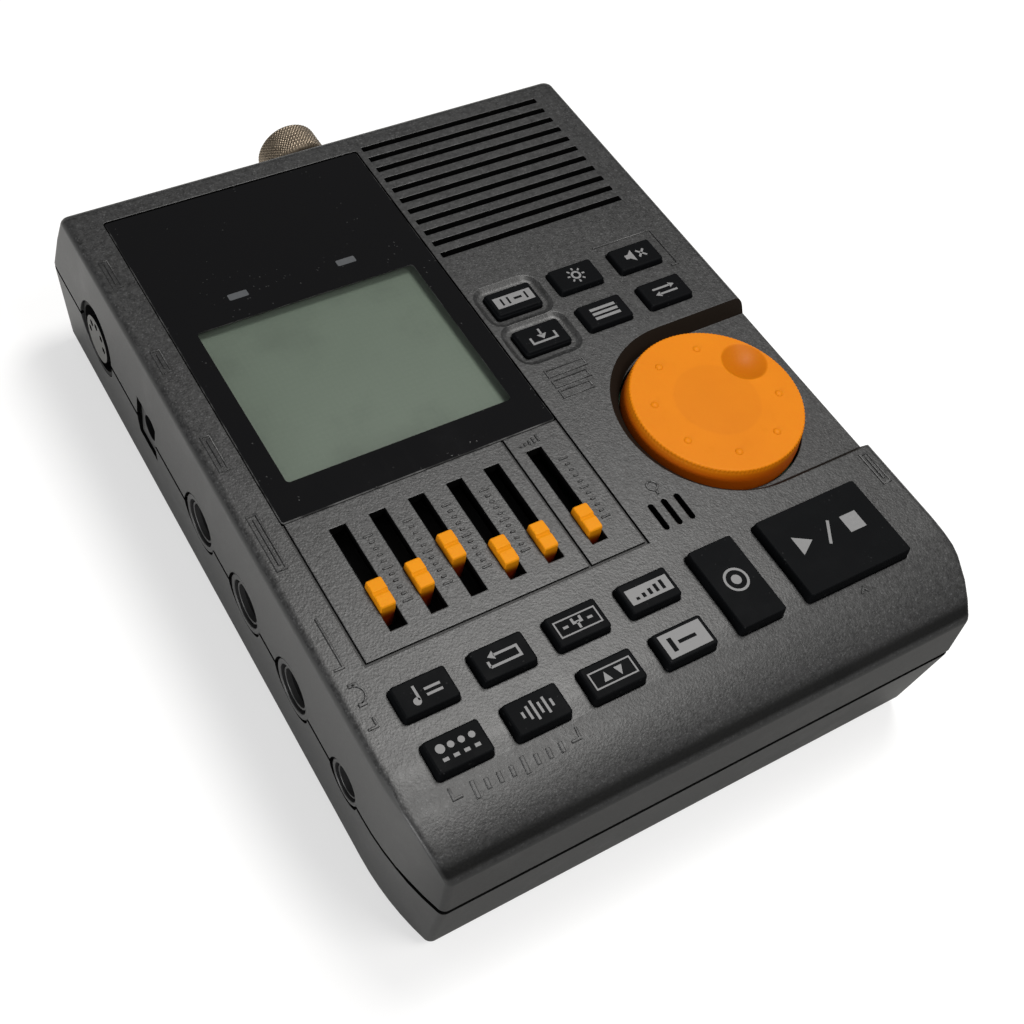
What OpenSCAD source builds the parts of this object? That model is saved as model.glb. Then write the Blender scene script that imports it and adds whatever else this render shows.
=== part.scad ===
// Digital metronome: a flat case with a display, a tempo dial, six faders and sixteen keys.
// Millimetres, +Z up, +Y to the rear. The origin lies on the table under the middle of the whole part.

/* [Case] */
// Width across the parting line
case_w = 127.5; // [126:0.5:136]
// Depth along the parting line
case_d = 172; // [171:0.5:182]
// Height of the case, feet left out
case_h = 42.4; // [42:0.2:46]
// Height of the parting line above the underside
seam_h = 22.8; // [22.4:0.1:23.4]
// Wall thickness of both shells
wall = 2.2; // [1.9:0.1:2.4]
// Lean of the rear wall
rear_slope = 7.15; // [6.4:0.05:8]
// Radius of the roll at the front of the top
roll_r = 26; // [24:0.5:30]
// Length of that roll, edge included
roll_len = 20; // [18:0.5:21]
// Radius of the swept front corners
sweep_r = 60; // [50:1:66]
// Where the sweep starts, from the front
sweep_len = 22; // [21.5:0.5:24]
// Rounding of the upper edge
edge_r = 1.8; // [1:0.1:2]
// Inward lean of the lower shell at the underside
lower_lean = 1.8; // [1.2:0.1:2.4]
// Height of the feet
foot_h = 1.7; // [1.2:0.1:3]
// Radius of a foot
foot_r = 5.5; // [4:0.1:6.5]

/* [Display] */
// Width of the window
win_w = 61.6; // [61:0.1:62.4]
// Depth of the window
win_d = 86.7; // [86:0.1:87.5]
// Corner radius of the window
win_r = 0.8; // [0.6:0.1:2]
// Thickness of the window
win_t = 1.5; // [1:0.1:1.6]
// Gap of the window to its pocket
win_gap = 0.15; // [0.1:0.05:0.3]
// Left edge of the window, from the left side of the case
win_inset = 8.35; // [8:0.05:9]
// Rear edge of the window, from the rear of the case
win_rear = 12.7; // [12.2:0.1:13.5]
// Width of the visible display
lcd_w = 50.6; // [46:0.2:51]
// Depth of the visible display
lcd_d = 41.4; // [38:0.2:42]
// Thickness of the display panel
lcd_t = 2.6; // [1.6:0.1:3.2]

/* [Dial] */
// Radius of the dial
dial_r = 19; // [16:0.05:19.2]
// Height of the dial above the top
dial_rise = 2.2; // [1.4:0.1:3.5]
// Depth of the recess around the dial
recess_h = 3.5; // [2.6:0.1:3.8]
// Radius of the recess at the top
recess_r = 22.5; // [22.3:0.1:23]
// Draft of the recess wall
recess_draft = 2; // [1:0.1:2.2]
// Radius of the dial shaft
shaft_r = 3; // [2:0.1:3.2]
// Radius of the finger dimple
dimple_r = 5.2; // [4:0.1:5.4]
// Gap between the dial and the hole around it
dial_gap = 0.5; // [0.3:0.05:0.7]

/* [Faders] */
// Pitch of the first five faders
fader_pitch = 8.45; // [8.2:0.05:8.5]
// Width of a fader slot
slot_w = 3.56; // [3.3:0.02:3.8]
// Length of a fader slot
slot_l = 24.1; // [23.5:0.1:24.5]
// Travel of a fader
fader_travel = 15; // [12:0.5:15]
// Gap of a cap to the sides of its slot
cap_gap = 0.18; // [0.12:0.02:0.3]
// Length of a cap
cap_l = 6.5; // [5:0.1:7]
// Height of a cap above the top
cap_rise = 1.9; // [1.2:0.1:3]
// Rest place of the six caps, from the front end of their travel
cap_rest = [2.6, 3.2, 6.1, 1, 0.6, 0.4];

/* [Keys] */
// Width of a small key
key_w = 11.1; // [9.5:0.1:11.2]
// Depth of a small key
key_d = 6.7; // [5.5:0.1:6.8]
// Column pitch of the keys
key_pitch_x = 15.9; // [15.6:0.1:16]
// Row pitch of the keys
key_pitch_y = 11.5; // [11.2:0.1:11.8]
// Depth of the tap key and the start key
big_d = 18.3; // [16:0.1:18.5]
// Width of the tap key
tap_w = 10.2; // [8:0.1:10.5]
// Width of the start key
start_w = 25; // [20:0.2:25.2]
// Corner radius of the keys
key_r = 0.7; // [0.5:0.1:1.6]
// Height of the front keys above the top
key_rise = 2; // [1.2:0.1:3]
// Height of the rear keys above the top
rear_rise = 1.4; // [1:0.1:2.5]
// Travel of a key
key_travel = 0.8; // [0.4:0.1:0.9]
// Gap around a key
key_gap = 0.3; // [0.2:0.05:0.4]
// Depth of the dish around two of the rear keys
dish_h = 0.9; // [0.4:0.1:1]

/* [Sound] */
// Count of the grille slots
grille_n = 11; // [6:1:11]
// Pitch of the grille slots
grille_pitch = 3.69; // [3.2:0.01:3.7]
// Width of a grille slot
grille_slot = 1.5; // [0.8:0.05:1.8]
// Right end of the grille, from the right side of the case
grille_in = 8.35; // [8:0.05:16]
// Radius of the speaker
speaker_r = 18.5; // [15:0.1:18.6]

/* [Sockets] */
// Radius of the collar of a large phone jack
jack_r = 6.6; // [5.8:0.1:7]
// Radius of the bore of a large phone jack
jack_bore = 3.25; // [3.2:0.01:3.35]
// Room between a large phone jack and the battery box
jack_room = 5.6; // [4.6:0.1:9.6]
// Radius of the bore of the small phone jack
mini_bore = 1.8; // [1.76:0.01:1.9]
// Radius of the round socket
din_r = 8.6; // [8:0.1:8.8]

/* [Stand clamp] */
// Radius of the bore for the stand rod
rod_r = 5.5; // [4.5:0.05:5.6]
// Depth of that bore, from the underside
rod_l = 33; // [30:0.5:34]
// Height of the clamp screw below the top
clamp_drop = 15.5; // [15:0.1:15.8]
// Radius of the clamp screw
screw_r = 2.95; // [2:0.05:3.1]
// Radius of the thumb knob
knob_r = 7.7; // [6:0.1:8.8]
// Length of the thumb knob
knob_l = 9; // [6:0.2:12]
// Travel of the clamp shoe
shoe_travel = 1; // [0.5:0.1:2]

/* [Battery] */
// Length of the battery
battery_l = 46.4; // [44:0.1:47]
// Width of the battery
battery_w = 26.5; // [24:0.1:27]
// Height of the battery
battery_h = 17; // [15:0.1:17.3]
// Thickness of the battery door
door_t = 2.4; // [2.2:0.1:2.6]

/* [View] */
// Part to show

/* [Hidden] */
$fn = 64;

// Levels
z_under = foot_h;
z_seam = foot_h + seam_h;
z_top = foot_h + case_h;
z_ceil = z_top - wall;
seam_drop = case_h - seam_h;
board_t = 1.6;
jack_half = jack_bore + 2.25;
z_board_low = z_seam + jack_half;
z_board = z_board_low + board_t;

// Edges of the case
x_side = case_w / 2;
y_end = case_d / 2;
side_lean = 0.8;
rear_r = 1.8;
front_r = 1.6;
low_r = 2;
roll_start = y_end - roll_len;
roll_span = roll_len - 1.2;
roll_drop = roll_r - sqrt(roll_r * roll_r - roll_span * roll_span);

// Brow between the roll and the front face, by its slope
brow_r = 1.6;
brow_a = asin(roll_span / roll_r);
front_a = 86;
brow_drop = roll_drop + brow_r * (cos(brow_a) - cos(front_a));
seam_in = 0.8;
seam_slit = 0.25;

// Window and display
win_x = -x_side + win_inset + win_w / 2;
win_y = y_end - win_rear - win_d / 2;
win_front = win_y - win_d / 2;
win_left = win_x - win_w / 2;
win_right = win_x + win_w / 2;
win_drop = 0.12;
pad_t = 1.2;
pad_rim = 1.6;
z_pad = z_ceil - pad_t;
lcd_x = win_x - 0.18;
lcd_y = win_front + 8.4 + lcd_d / 2;
lcd_rim = 1.8;
z_lcd = z_pad - lcd_t;
lamp_x = 12.7;
lamp_y = win_front + 56.25;
lamp_w = 4.6;
lamp_d = 1.9;
z_win_low = z_top - win_drop - win_t;

// Dial and its recess
recess_x = x_side - 23.25;
recess_y = win_front - 10.05;
dial_x = recess_x - 1.85;
dial_y = recess_y - 0.3;
recess_floor = 2;
tub_wall = 1.7;
tub_r = recess_r + tub_wall;
z_recess = z_top - recess_h;
z_tub = z_recess - recess_floor;
z_dial = z_top + dial_rise;
z_dial_low = z_tub + 0.4;
dial_roof = 2.4;
encoder_h = 0.7 * (z_dial_low - z_board);
bush_r = shaft_r + 1.4;
shaft_gap = 0.05;
hub_r = shaft_r + 2.2;
dimple_at = 13.1;
dimple_a = 27.4;
dimple_h = 0.8;

// Faders
panel_front = win_front - 33;
slot_y = win_front - 16.53;
fader_step = 1.5;
fader_span = 5 * fader_pitch + fader_step;
fader_x1 = win_left + 0.521 * (win_w - fader_span);
fader_x6 = fader_x1 + fader_span;
lever_w = 1;
lever_d = 2.4;
cap_w = slot_w - 2 * cap_gap;
pot_w = fader_pitch - 1;
pot_l = 33;
z_pot = z_board + 5.6;
cap_low = z_pot + 0.8;
groove_w = 0.6;
groove_h = 0.5;
divider_x = fader_x6 - 4.7;

// Keys
flange_w = 1;
flange_room = 1.65;
front_y0 = -y_end + 30.1;
big_y = front_y0 - key_pitch_y / 2 + 0.15;
big_rise = key_rise + 0.2;

// The front row: the room left over is shared out between its keys
row_left = 4.2;
row_gap = 2.3;
row_right = 10.4;
row_keys = 3 * key_pitch_x + key_w + tap_w + start_w;
row_free = case_w - row_keys - row_left - 2 * row_gap - row_right;
front_x0 = -x_side + row_left + 0.357 * row_free + key_w / 2;
front_x1 = front_x0 + 3 * key_pitch_x + key_w / 2;
tap_x = front_x1 + row_gap + 0.237 * row_free + tap_w / 2;
start_x = tap_x + tap_w / 2 + row_gap + 0.2593 * row_free + start_w / 2;

// The rear keys: the room beside the window is shared out in the same way
rear_free = x_side - win_right - pad_rim - 3 * (key_w + 2 * flange_w);
rear_pitch = key_w + 2 * flange_w + 0.1682 * rear_free;
rear_x0 = win_right + pad_rim + 0.051 * rear_free + key_w / 2 + flange_w;
rear_y0 = recess_y + tub_r + key_pitch_y + key_d / 2 + flange_w + flange_room;
flange_t = 1.2;
flange_gap = 0.12;
stem_r = 1.9;
stem_gap = 0.05;
switch_w = 6;
switch_h = 3.4;
switch_nub = 0.9;
z_switch = z_board + switch_h + switch_nub;
dish_w = 2.6;
KEYS = [
  [rear_x0, rear_y0], [rear_x0 + rear_pitch, rear_y0], [rear_x0 + 2 * rear_pitch, rear_y0],
  [rear_x0, rear_y0 - key_pitch_y], [rear_x0 + rear_pitch, rear_y0 - key_pitch_y],
  [rear_x0 + 2 * rear_pitch, rear_y0 - key_pitch_y],
  [front_x0, front_y0], [front_x0 + key_pitch_x, front_y0],
  [front_x0 + 2 * key_pitch_x, front_y0], [front_x0 + 3 * key_pitch_x, front_y0],
  [front_x0, front_y0 - key_pitch_y], [front_x0 + key_pitch_x, front_y0 - key_pitch_y],
  [front_x0 + 2 * key_pitch_x, front_y0 - key_pitch_y],
  [front_x0 + 3 * key_pitch_x, front_y0 - key_pitch_y],
  [tap_x, big_y], [start_x, big_y]];

// Grille, speaker and microphone
grille_left = win_right + 1.4;
grille_l = x_side - grille_in - grille_left;
grille_x = grille_left + grille_l / 2;
grille_y = y_end - 13;
speaker_free = x_side - 2.9 - win_right - pad_rim - 2 * speaker_r;
speaker_x = win_right + pad_rim + 0.324 * speaker_free + speaker_r;
speaker_y = grille_y - grille_pitch * (grille_n - 1) / 2;
basket_h = 8;
magnet_h = 5;
magnet_r = 10.5;
mic_pitch = 3.1;
mic_slot = 1.3;
mic_l = 6.5;
mic_r = 4.6;
mic_drop = 18.7;
mic_y = recess_y - mic_drop;
mic_left = fader_x6 + pot_w / 2;
mic_right = recess_x - sqrt(tub_r * tub_r - mic_drop * mic_drop);
mic_x = mic_left + mic_r + 0.5785 * (mic_right - mic_left - 2 * mic_r);

// Sockets on the sides, placed along Y
jack_y = [0.0343 * case_d, -0.08837 * case_d, -0.20814 * case_d];
mini_y = -0.33023 * case_d;
dc_y = 0.18837 * case_d;
din_y = y_end - 26;
input_y = [-0.1686 * case_d, -0.29767 * case_d];
jack_w = 2 * jack_bore + 5.9;
collar_l = 3;
face_in = 0.4;
hole_gap = 0.2;
mini_r = 5;
mini_w = 8.6;
mini_l = 15;
dc_w = 9;
din_face = din_r - 3.1;
dc_l = 14;
din_seat = 10;
din_l = 17;

// Stand clamp
rod_y = y_end - 19;
block_w = 18;
block_drop = 5;
block_rear = y_end - rear_slope * (1 - block_drop / (0.85 * seam_drop)) - wall * 1.09 - 0.5;
block_front = rod_y - rod_r - 3;
z_floor = z_under + wall;
z_block = z_top - block_drop;
z_clamp = z_top - clamp_drop;
shoe_r = screw_r + 1;
shoe_l = 2.6;
shoe_y = rod_y + rod_r + 0.2;
shoe_gap = 0.08;
knob_y = y_end + shoe_travel + 0.4;
shank_gap = 0.06;

// Half of what the knob adds to the depth: the whole part is centred on the origin
y_mid = (knob_y + knob_l - y_end) / 2;

// Battery, door and screws
box_wall = 1.5;
clip_l = 3;
post_l = 2.1;
bay_l = battery_l + post_l + clip_l + 1;
bay_w = battery_w + 1.5;
z_battery = z_under + door_t + 0.4;
z_bay = z_battery + battery_h + 0.5;
jack_l = x_side - face_in - bay_l / 2 - box_wall - jack_room;
door_w = bay_l + 4;
door_d = bay_w + 5;
door_gap = 0.3;
ledge_t = 1.8;
hinge_r = door_t / 2;
hinge_y = door_d / 2 - hinge_r;
hinge_z = z_under + hinge_r;
hinge_pin = 0.7;
pin_l = 1.8;
pin_gap = 0.05;
post_r = 3.4;
tube_r = 4.6;
head_seat = 4;
BOSSES = [[-x_side + 9.25, -y_end + 8.5], [x_side - 9.25, -y_end + 8.5],
  [-x_side + 8.25, y_end - 11.5], [x_side - 8.25, y_end - 11.5]];
POSTS = [[-x_side + 6.2, -0.2674 * case_d], [x_side - 6.7, -0.3517 * case_d],
  [x_side - 6.7, 0.1599 * case_d], [-x_side + 6.2, 0.25 * case_d]];
FEET = [[-x_side + 15, -y_end + 17], [x_side - 15, -y_end + 17],
  [-x_side + 13.5, y_end - 26], [x_side - 13.5, y_end - 26]];

case_col = [0.2, 0.2, 0.21];
key_col = [0.09, 0.09, 0.1];
orange = [0.9, 0.5, 0.1];
metal = [0.6, 0.58, 0.55];
dark = [0.1, 0.1, 0.11];
green = [0.1, 0.32, 0.2];

function arc(c, r, a0, a1, n) =
  [for (i = [0:n]) c + r * [cos(a0 + (a1 - a0) * i / n), sin(a0 + (a1 - a0) * i / n)]];

// Rounded rectangle about the origin
function rounded(w, d, r) = concat(
  arc([w / 2 - r, d / 2 - r], r, 0, 90, 4), arc([-w / 2 + r, d / 2 - r], r, 90, 180, 4),
  arc([-w / 2 + r, -d / 2 + r], r, 180, 270, 4), arc([w / 2 - r, -d / 2 + r], r, 270, 360, 4));

// Slot with round ends along X
function slot_pts(l, w) = concat(
  arc([l / 2 - w / 2, 0], w / 2, -90, 90, 6), arc([-l / 2 + w / 2, 0], w / 2, 90, 270, 6));

// Right half of the plan of the case, from the rear to the front
function plan_half(hw, yf, yr) =
  let (
    sy = -y_end + sweep_len,
    rf = max(0.6, min(front_r, (sy - yf) / 2)),
    phi = asin((sy - yf - rf) / (sweep_r - rf))
  )
  concat(
    arc([hw - rear_r, yr - rear_r], rear_r, 90, 0, 4),
    arc([hw - sweep_r, sy], sweep_r, 0, -phi, 6),
    arc([hw - sweep_r + (sweep_r - rf) * cos(phi), yf + rf], rf, -phi - 8, -90, 4));

// Whole plan, counter-clockwise, lifted to one level
function ring(hw, yf, yr, z) =
  let (h = plan_half(hw, yf, yr), n = len(h))
  concat(
    [for (i = [0:n - 1]) [-h[i][0], h[i][1], z]],
    [for (i = [0:n - 1]) [h[n - 1 - i][0], h[n - 1 - i][1], z]]);

// Outer form of the upper shell at a drop below the top
function half_at(s) = x_side - side_lean * (1 - s / seam_drop);
function rear_at(s) = y_end - rear_slope * max(0, 1 - s / (0.85 * seam_drop));
function brow(i) =
  let (a = brow_a + (front_a - brow_a) * i / 3)
  [roll_drop + brow_r * (cos(brow_a) - cos(a)), -roll_start - roll_span - brow_r * (sin(a) - sin(brow_a))];
function front_at(s) = s <= roll_drop
  ? -roll_start - sqrt(s * (2 * roll_r - s))
  : lookup(s, concat([for (i = [0:3]) brow(i)], [[seam_drop, -y_end]]));
function edge_in(s) = s >= edge_r ? 0 : edge_r - sqrt(edge_r * edge_r - (edge_r - s) * (edge_r - s));
function upper_ring(s, k) =
  ring(half_at(s) - k - edge_in(s), front_at(s) + k, rear_at(s) - k - edge_in(s), z_top - s);

// Solid skin over a stack of rings, lowest first
module loft(rings) {
  n = len(rings[0]);
  k = len(rings);
  sides = [for (i = [0:k - 2], j = [0:n - 1])
    let (a = i * n + j, b = i * n + (j + 1) % n)
    each [[a, a + n, b + n], [a, b + n, b]]];
  polyhedron(
    points = [for (r = rings) each r],
    faces = concat([[for (j = [0:n - 1]) j]], [[for (j = [n - 1:-1:0]) (k - 1) * n + j]], sides));
}

module block(x0, x1, y0, y1, z0, z1) {
  translate([x0, y0, z0]) cube([x1 - x0, y1 - y0, z1 - z0]);
}

module plate(pts, z0, z1) {
  translate([0, 0, z0]) linear_extrude(z1 - z0) polygon(pts);
}

// Cylinder along X from x0 to x1
module rod_x(x0, x1, y, z, r) {
  translate([x0, y, z]) rotate([0, 90, 0]) cylinder(h = x1 - x0, r = r);
}

// Cylinder along Y from y0 to y1
module rod_y(x, y0, y1, z, r) {
  translate([x, y1, z]) rotate([90, 0, 0]) cylinder(h = y1 - y0, r = r);
}

module upper_outer() {
  loft(concat(
    [upper_ring(seam_drop, seam_in), upper_ring(seam_drop - seam_slit, seam_in)],
    [upper_ring(seam_drop - seam_slit - 0.05, 0)],
    [for (i = [3:-1:1]) upper_ring(brow(i)[0], 0)],
    [for (i = [4:-1:2]) upper_ring(edge_r + (roll_drop - edge_r) * (i - 1) / 3, 0)],
    [for (a = [0:22.5:90]) upper_ring(edge_r * (1 - sin(a)), 0)]));
}

module upper_inner() {
  low = seam_drop + 1;
  mid = 0.85 * seam_drop;
  loft([
    ring(x_side - wall, -y_end + wall, y_end - wall, z_top - low),
    ring(half_at(mid) - wall, front_at(mid) + wall, rear_at(mid) - wall, z_top - mid),
    ring(half_at(brow_drop) - wall, front_at(brow_drop) + wall + 0.3,
      rear_at(brow_drop) - wall * 1.09, z_top - brow_drop),
    ring(half_at(wall) - wall, -roll_start - 7, rear_at(wall) - wall * 1.09, z_ceil)]);
}

// Outer form of the lower shell at a height above the underside
function lower_in(h) =
  lower_lean * (1 - h / seam_h)
  + (h >= low_r ? 0 : low_r - sqrt(low_r * low_r - (low_r - h) * (low_r - h)));
function lower_ring(h, k) =
  ring(x_side - lower_in(h) - k, -y_end + lower_in(h) + k, y_end - lower_in(h) - k, z_under + h);

module lower_outer() {
  loft(concat(
    [for (a = [90:-22.5:0]) lower_ring(low_r * (1 - sin(a)), 0)],
    [lower_ring(seam_h - seam_slit - 0.05, 0), lower_ring(seam_h - seam_slit, seam_in),
      lower_ring(seam_h, seam_in)]));
}

module lower_inner() {
  loft([
    lower_ring(wall, wall + 1),
    lower_ring(wall + 2, wall),
    ring(x_side - wall, -y_end + wall, y_end - wall, z_seam + 1)]);
}

// Top of a screw boss: under the roll at the front, in the ceiling at the rear
function boss_top(y) = y > 0 ? z_ceil + 0.4
  : z_top - 1 - roll_r + sqrt(roll_r * roll_r - pow(y - post_r + roll_start, 2));

// Cut-outs for the sockets and the clamp screw, shared by both shells
module side_cuts() {
  for (y = jack_y) rod_x(-x_side - 2, -x_side + 6, y, z_seam, jack_r + hole_gap);
  for (y = input_y) rod_x(x_side - 6, x_side + 2, y, z_seam, jack_r + hole_gap);
  rod_x(-x_side - 2, -x_side + 6, mini_y, z_seam, mini_r + hole_gap);
  rod_x(-x_side - 2, -x_side + 6, din_y, z_seam, din_r + hole_gap);
  block(-x_side - 2, -x_side + 6, dc_y - dc_w / 2 - hole_gap, dc_y + dc_w / 2 + hole_gap,
    z_seam - jack_half - hole_gap, z_seam + jack_half + hole_gap);
  rod_y(0, y_end - 8, y_end + 2, z_clamp, screw_r + 0.5);
}

function fader_x(i) = i < 6 ? fader_x1 + (i - 1) * fader_pitch : fader_x6;

module key_hole(i, w, d) {
  translate([KEYS[i][0], KEYS[i][1], 0])
    plate(rounded(w + 2 * key_gap, d + 2 * key_gap, key_r + key_gap), z_ceil - 1, z_top + 1);
}

// Dished hollow around a rear key
module dish(i) {
  w = key_w + 2 * dish_w;
  d = key_d + 2 * dish_w;
  g = 1.5;
  translate([KEYS[i][0], KEYS[i][1], 0])
    loft([
      [for (p = rounded(w - 2 * g, d - 2 * g, 2)) [p[0], p[1], z_top - dish_h]],
      [for (p = rounded(w - g, d - g, 2.8)) [p[0], p[1], z_top - dish_h * 0.66]],
      [for (p = rounded(w, d, 3.5)) [p[0], p[1], z_top]],
      [for (p = rounded(w, d, 3.5)) [p[0], p[1], z_top + 1]]]);
}

// Hollow around the dial, open to the right
module recess() {
  k = recess_draft / recess_h;
  up = 1;
  translate([recess_x, recess_y, z_recess])
    cylinder(h = recess_h + up, r1 = recess_r - recess_draft, r2 = recess_r + k * up);
  translate([recess_x, recess_y, z_recess]) rotate([90, 0, 90]) linear_extrude(40)
    polygon([[-recess_r + recess_draft, 0], [recess_r - recess_draft, 0],
      [recess_r + k * up, recess_h + up], [-recess_r - k * up, recess_h + up]]);
  translate([dial_x, dial_y, z_tub - 1]) cylinder(h = recess_floor + 2, r = dial_r + dial_gap);
}

module panel_grooves() {
  z0 = z_top - groove_h;
  z1 = z_top + 1;
  y1 = win_front + 0.5;
  block(win_left, win_left + groove_w, panel_front, y1, z0, z1);
  block(win_right - groove_w, win_right, panel_front, y1, z0, z1);
  block(divider_x - groove_w / 2, divider_x + groove_w / 2, panel_front, y1, z0, z1);
  block(win_left, win_right, panel_front, panel_front + groove_w, z0, z1);
}

module upper_case() {
  color(case_col) difference() {
    union() {
      difference() {
        upper_outer();
        upper_inner();
      }
      block(win_left - pad_rim, win_right + pad_rim, win_front - pad_rim, win_y + win_d / 2 + 1.2,
        z_pad, z_ceil + 0.5);
      difference() {
        union() {
          translate([recess_x, recess_y, z_tub])
            cylinder(h = z_ceil - z_tub + 0.5, r = recess_r + tub_wall);
          block(recess_x, x_side, recess_y - recess_r - tub_wall, recess_y + recess_r + tub_wall,
            z_tub, z_ceil + 0.5);
        }
        block(half_at(recess_h) - wall / 2, x_side + 9, recess_y - 40, recess_y + 40, z_tub - 1, z_top);
      }
      for (p = BOSSES) translate([p[0], p[1], z_seam]) cylinder(h = boss_top(p[1]) - z_seam, r = post_r);
      for (p = POSTS) translate([p[0], p[1], z_board]) cylinder(h = z_ceil - z_board + 0.5, r = 2.4);
    }
    translate([win_x, win_y, 0])
      plate(rounded(win_w, win_d, win_r), z_win_low, z_top + 1);
    block(lcd_x - lcd_w / 2 - 0.4, lcd_x + lcd_w / 2 + 0.4, lcd_y - lcd_d / 2 - 0.4,
      lcd_y + lcd_d / 2 + 0.4, z_pad - 1, z_top);
    for (s = [-1, 1]) block(lcd_x + s * lamp_x - lamp_w / 2 - 0.2, lcd_x + s * lamp_x + lamp_w / 2 + 0.2,
      lamp_y - lamp_d / 2 - 0.2, lamp_y + lamp_d / 2 + 0.2, z_pad - 1, z_top);
    for (i = [1:6]) block(fader_x(i) - slot_w / 2, fader_x(i) + slot_w / 2,
      slot_y - slot_l / 2, slot_y + slot_l / 2, z_pad - 1, z_top + 1);
    panel_grooves();
    for (i = [0:grille_n - 1]) translate([grille_x, grille_y - i * grille_pitch, 0])
      plate(rounded(grille_l, grille_slot, 0.2), z_ceil - 1, z_top + 1);
    for (i = [-1:1]) translate([mic_x + i * mic_pitch, mic_y, 0]) rotate([0, 0, 90])
      plate(slot_pts(mic_l, mic_slot), z_ceil - 1, z_top + 1);
    for (i = [0:13]) key_hole(i, key_w, key_d);
    key_hole(14, tap_w, big_d);
    key_hole(15, start_w, big_d);
    dish(0);
    dish(3);
    recess();
    side_cuts();
    for (p = BOSSES) translate([p[0], p[1], z_seam - 1]) cylinder(h = 11.5, r = 1.5);
    for (p = POSTS) translate([p[0], p[1], z_board - 1]) cylinder(h = 7.5, r = 1);
  }
}

module lower_case() {
  color(case_col) difference() {
    union() {
      difference() {
        lower_outer();
        lower_inner();
      }
      block(-door_w / 2 - 3, door_w / 2 + 3, -door_d / 2 - 2, door_d / 2 + 2,
        z_under + 1, z_under + door_t + ledge_t);
      block(-bay_l / 2 - box_wall, bay_l / 2 + box_wall, -bay_w / 2 - box_wall, bay_w / 2 + box_wall,
        z_under + 1, z_bay + box_wall);
      for (p = BOSSES) translate([p[0], p[1], z_under + 1]) cylinder(h = seam_h - 1, r = tube_r);
      for (sx = [0, 1], sy = [-1, 1])
        translate([-x_side + 9 + 12 * sx, din_y + (din_r - 1.1) * sy, z_under + 1])
          cylinder(h = z_seam - din_seat - board_t - z_under - 1, r = 2.2);
    }
    block(-bay_l / 2, bay_l / 2, -bay_w / 2, bay_w / 2, z_under - 1, z_bay);
    block(-door_w / 2 - door_gap, door_w / 2 + door_gap, -door_d / 2 - door_gap, door_d / 2 + door_gap,
      z_under - 1, z_under + door_t + 0.1);
    rod_x(-door_w / 2 - pin_l - 0.3, door_w / 2 + pin_l + 0.3, hinge_y, hinge_z, hinge_pin + pin_gap);
    block(-8, 8, -door_d / 2 - 3.5, -door_d / 2, z_under - 1, z_under + 1.4);
    translate([0, rod_y, z_under - 1]) cylinder(h = wall + 3, r = rod_r + 0.6);
    for (p = BOSSES) translate([p[0], p[1], z_under - 1]) cylinder(h = seam_h + 2, r = 1.6);
    for (p = BOSSES) translate([p[0], p[1], z_under - 1]) cylinder(h = seam_h - head_seat + 1, r = 3.1);
    for (p = FEET) translate([p[0], p[1], z_under - 1]) cylinder(h = 1.4, r = foot_r + 0.1);
    side_cuts();
  }
}

module display_window() {
  color([0.03, 0.03, 0.035]) translate([win_x, win_y, 0])
    plate(rounded(win_w - 2 * win_gap, win_d - 2 * win_gap, win_r - win_gap), z_win_low, z_top - win_drop);
}

module lcd_panel() {
  color([0.45, 0.5, 0.44]) block(lcd_x - lcd_w / 2 - lcd_rim, lcd_x + lcd_w / 2 + lcd_rim,
    lcd_y - lcd_d / 2 - lcd_rim, lcd_y + lcd_d / 2 + lcd_rim, z_lcd, z_pad);
}

// Frame between the board and the display panel
module lcd_holder() {
  w = lcd_w / 2 + lcd_rim;
  d = lcd_d / 2 + lcd_rim;
  color([0.8, 0.8, 0.78]) difference() {
    block(lcd_x - w, lcd_x + w, lcd_y - d, lcd_y + d, z_board, z_lcd);
    block(lcd_x - w + 1.5, lcd_x + w - 1.5, lcd_y - d + 1.5, lcd_y + d - 1.5, z_board - 1, z_lcd - 1.5);
  }
}

module beat_lamps() {
  color([0.8, 0.3, 0.25]) for (s = [-1, 1])
    block(lcd_x + s * lamp_x - lamp_w / 2, lcd_x + s * lamp_x + lamp_w / 2,
      lamp_y - lamp_d / 2, lamp_y + lamp_d / 2, z_board, z_win_low - 0.1);
}

// Thumb wheel with a finger dimple, hollow below
module dial() {
  color(orange) translate([dial_x, dial_y, 0]) difference() {
    union() {
      rotate_extrude() polygon([
        [hub_r, z_dial - dial_roof - 1], [dial_r - 2.2, z_dial - dial_roof - 1],
        [dial_r - 2.2, z_dial_low], [dial_r, z_dial_low], [dial_r, z_dial - 0.8],
        [dial_r - 0.25, z_dial - 0.25], [dial_r - 0.8, z_dial], [dial_r - 1.6, z_dial],
        [dial_r - 2.2, z_dial - 0.3], [0, z_dial - 0.3], [0, z_dial_low], [hub_r, z_dial_low]]);
      for (i = [1:7]) rotate([0, 0, dimple_a + 45 * i]) translate([dimple_at + 0.6, 0, z_dial - 0.8])
        cylinder(h = 0.8, r = 0.65);
    }
    translate([0, 0, z_dial_low - 1]) cylinder(h = z_dial - dial_roof - z_dial_low + 1, r = shaft_r + 0.02);
    rotate([0, 0, dimple_a]) translate([dimple_at, 0, z_dial - dimple_h])
      cylinder(h = dimple_h + 1, r1 = dimple_r - 2, r2 = dimple_r + 1);
  }
}

module dial_shaft() {
  color(metal) translate([dial_x, dial_y, z_board + 0.5])
    cylinder(h = z_dial - dial_roof - z_board - 0.5, r = shaft_r);
}

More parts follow.
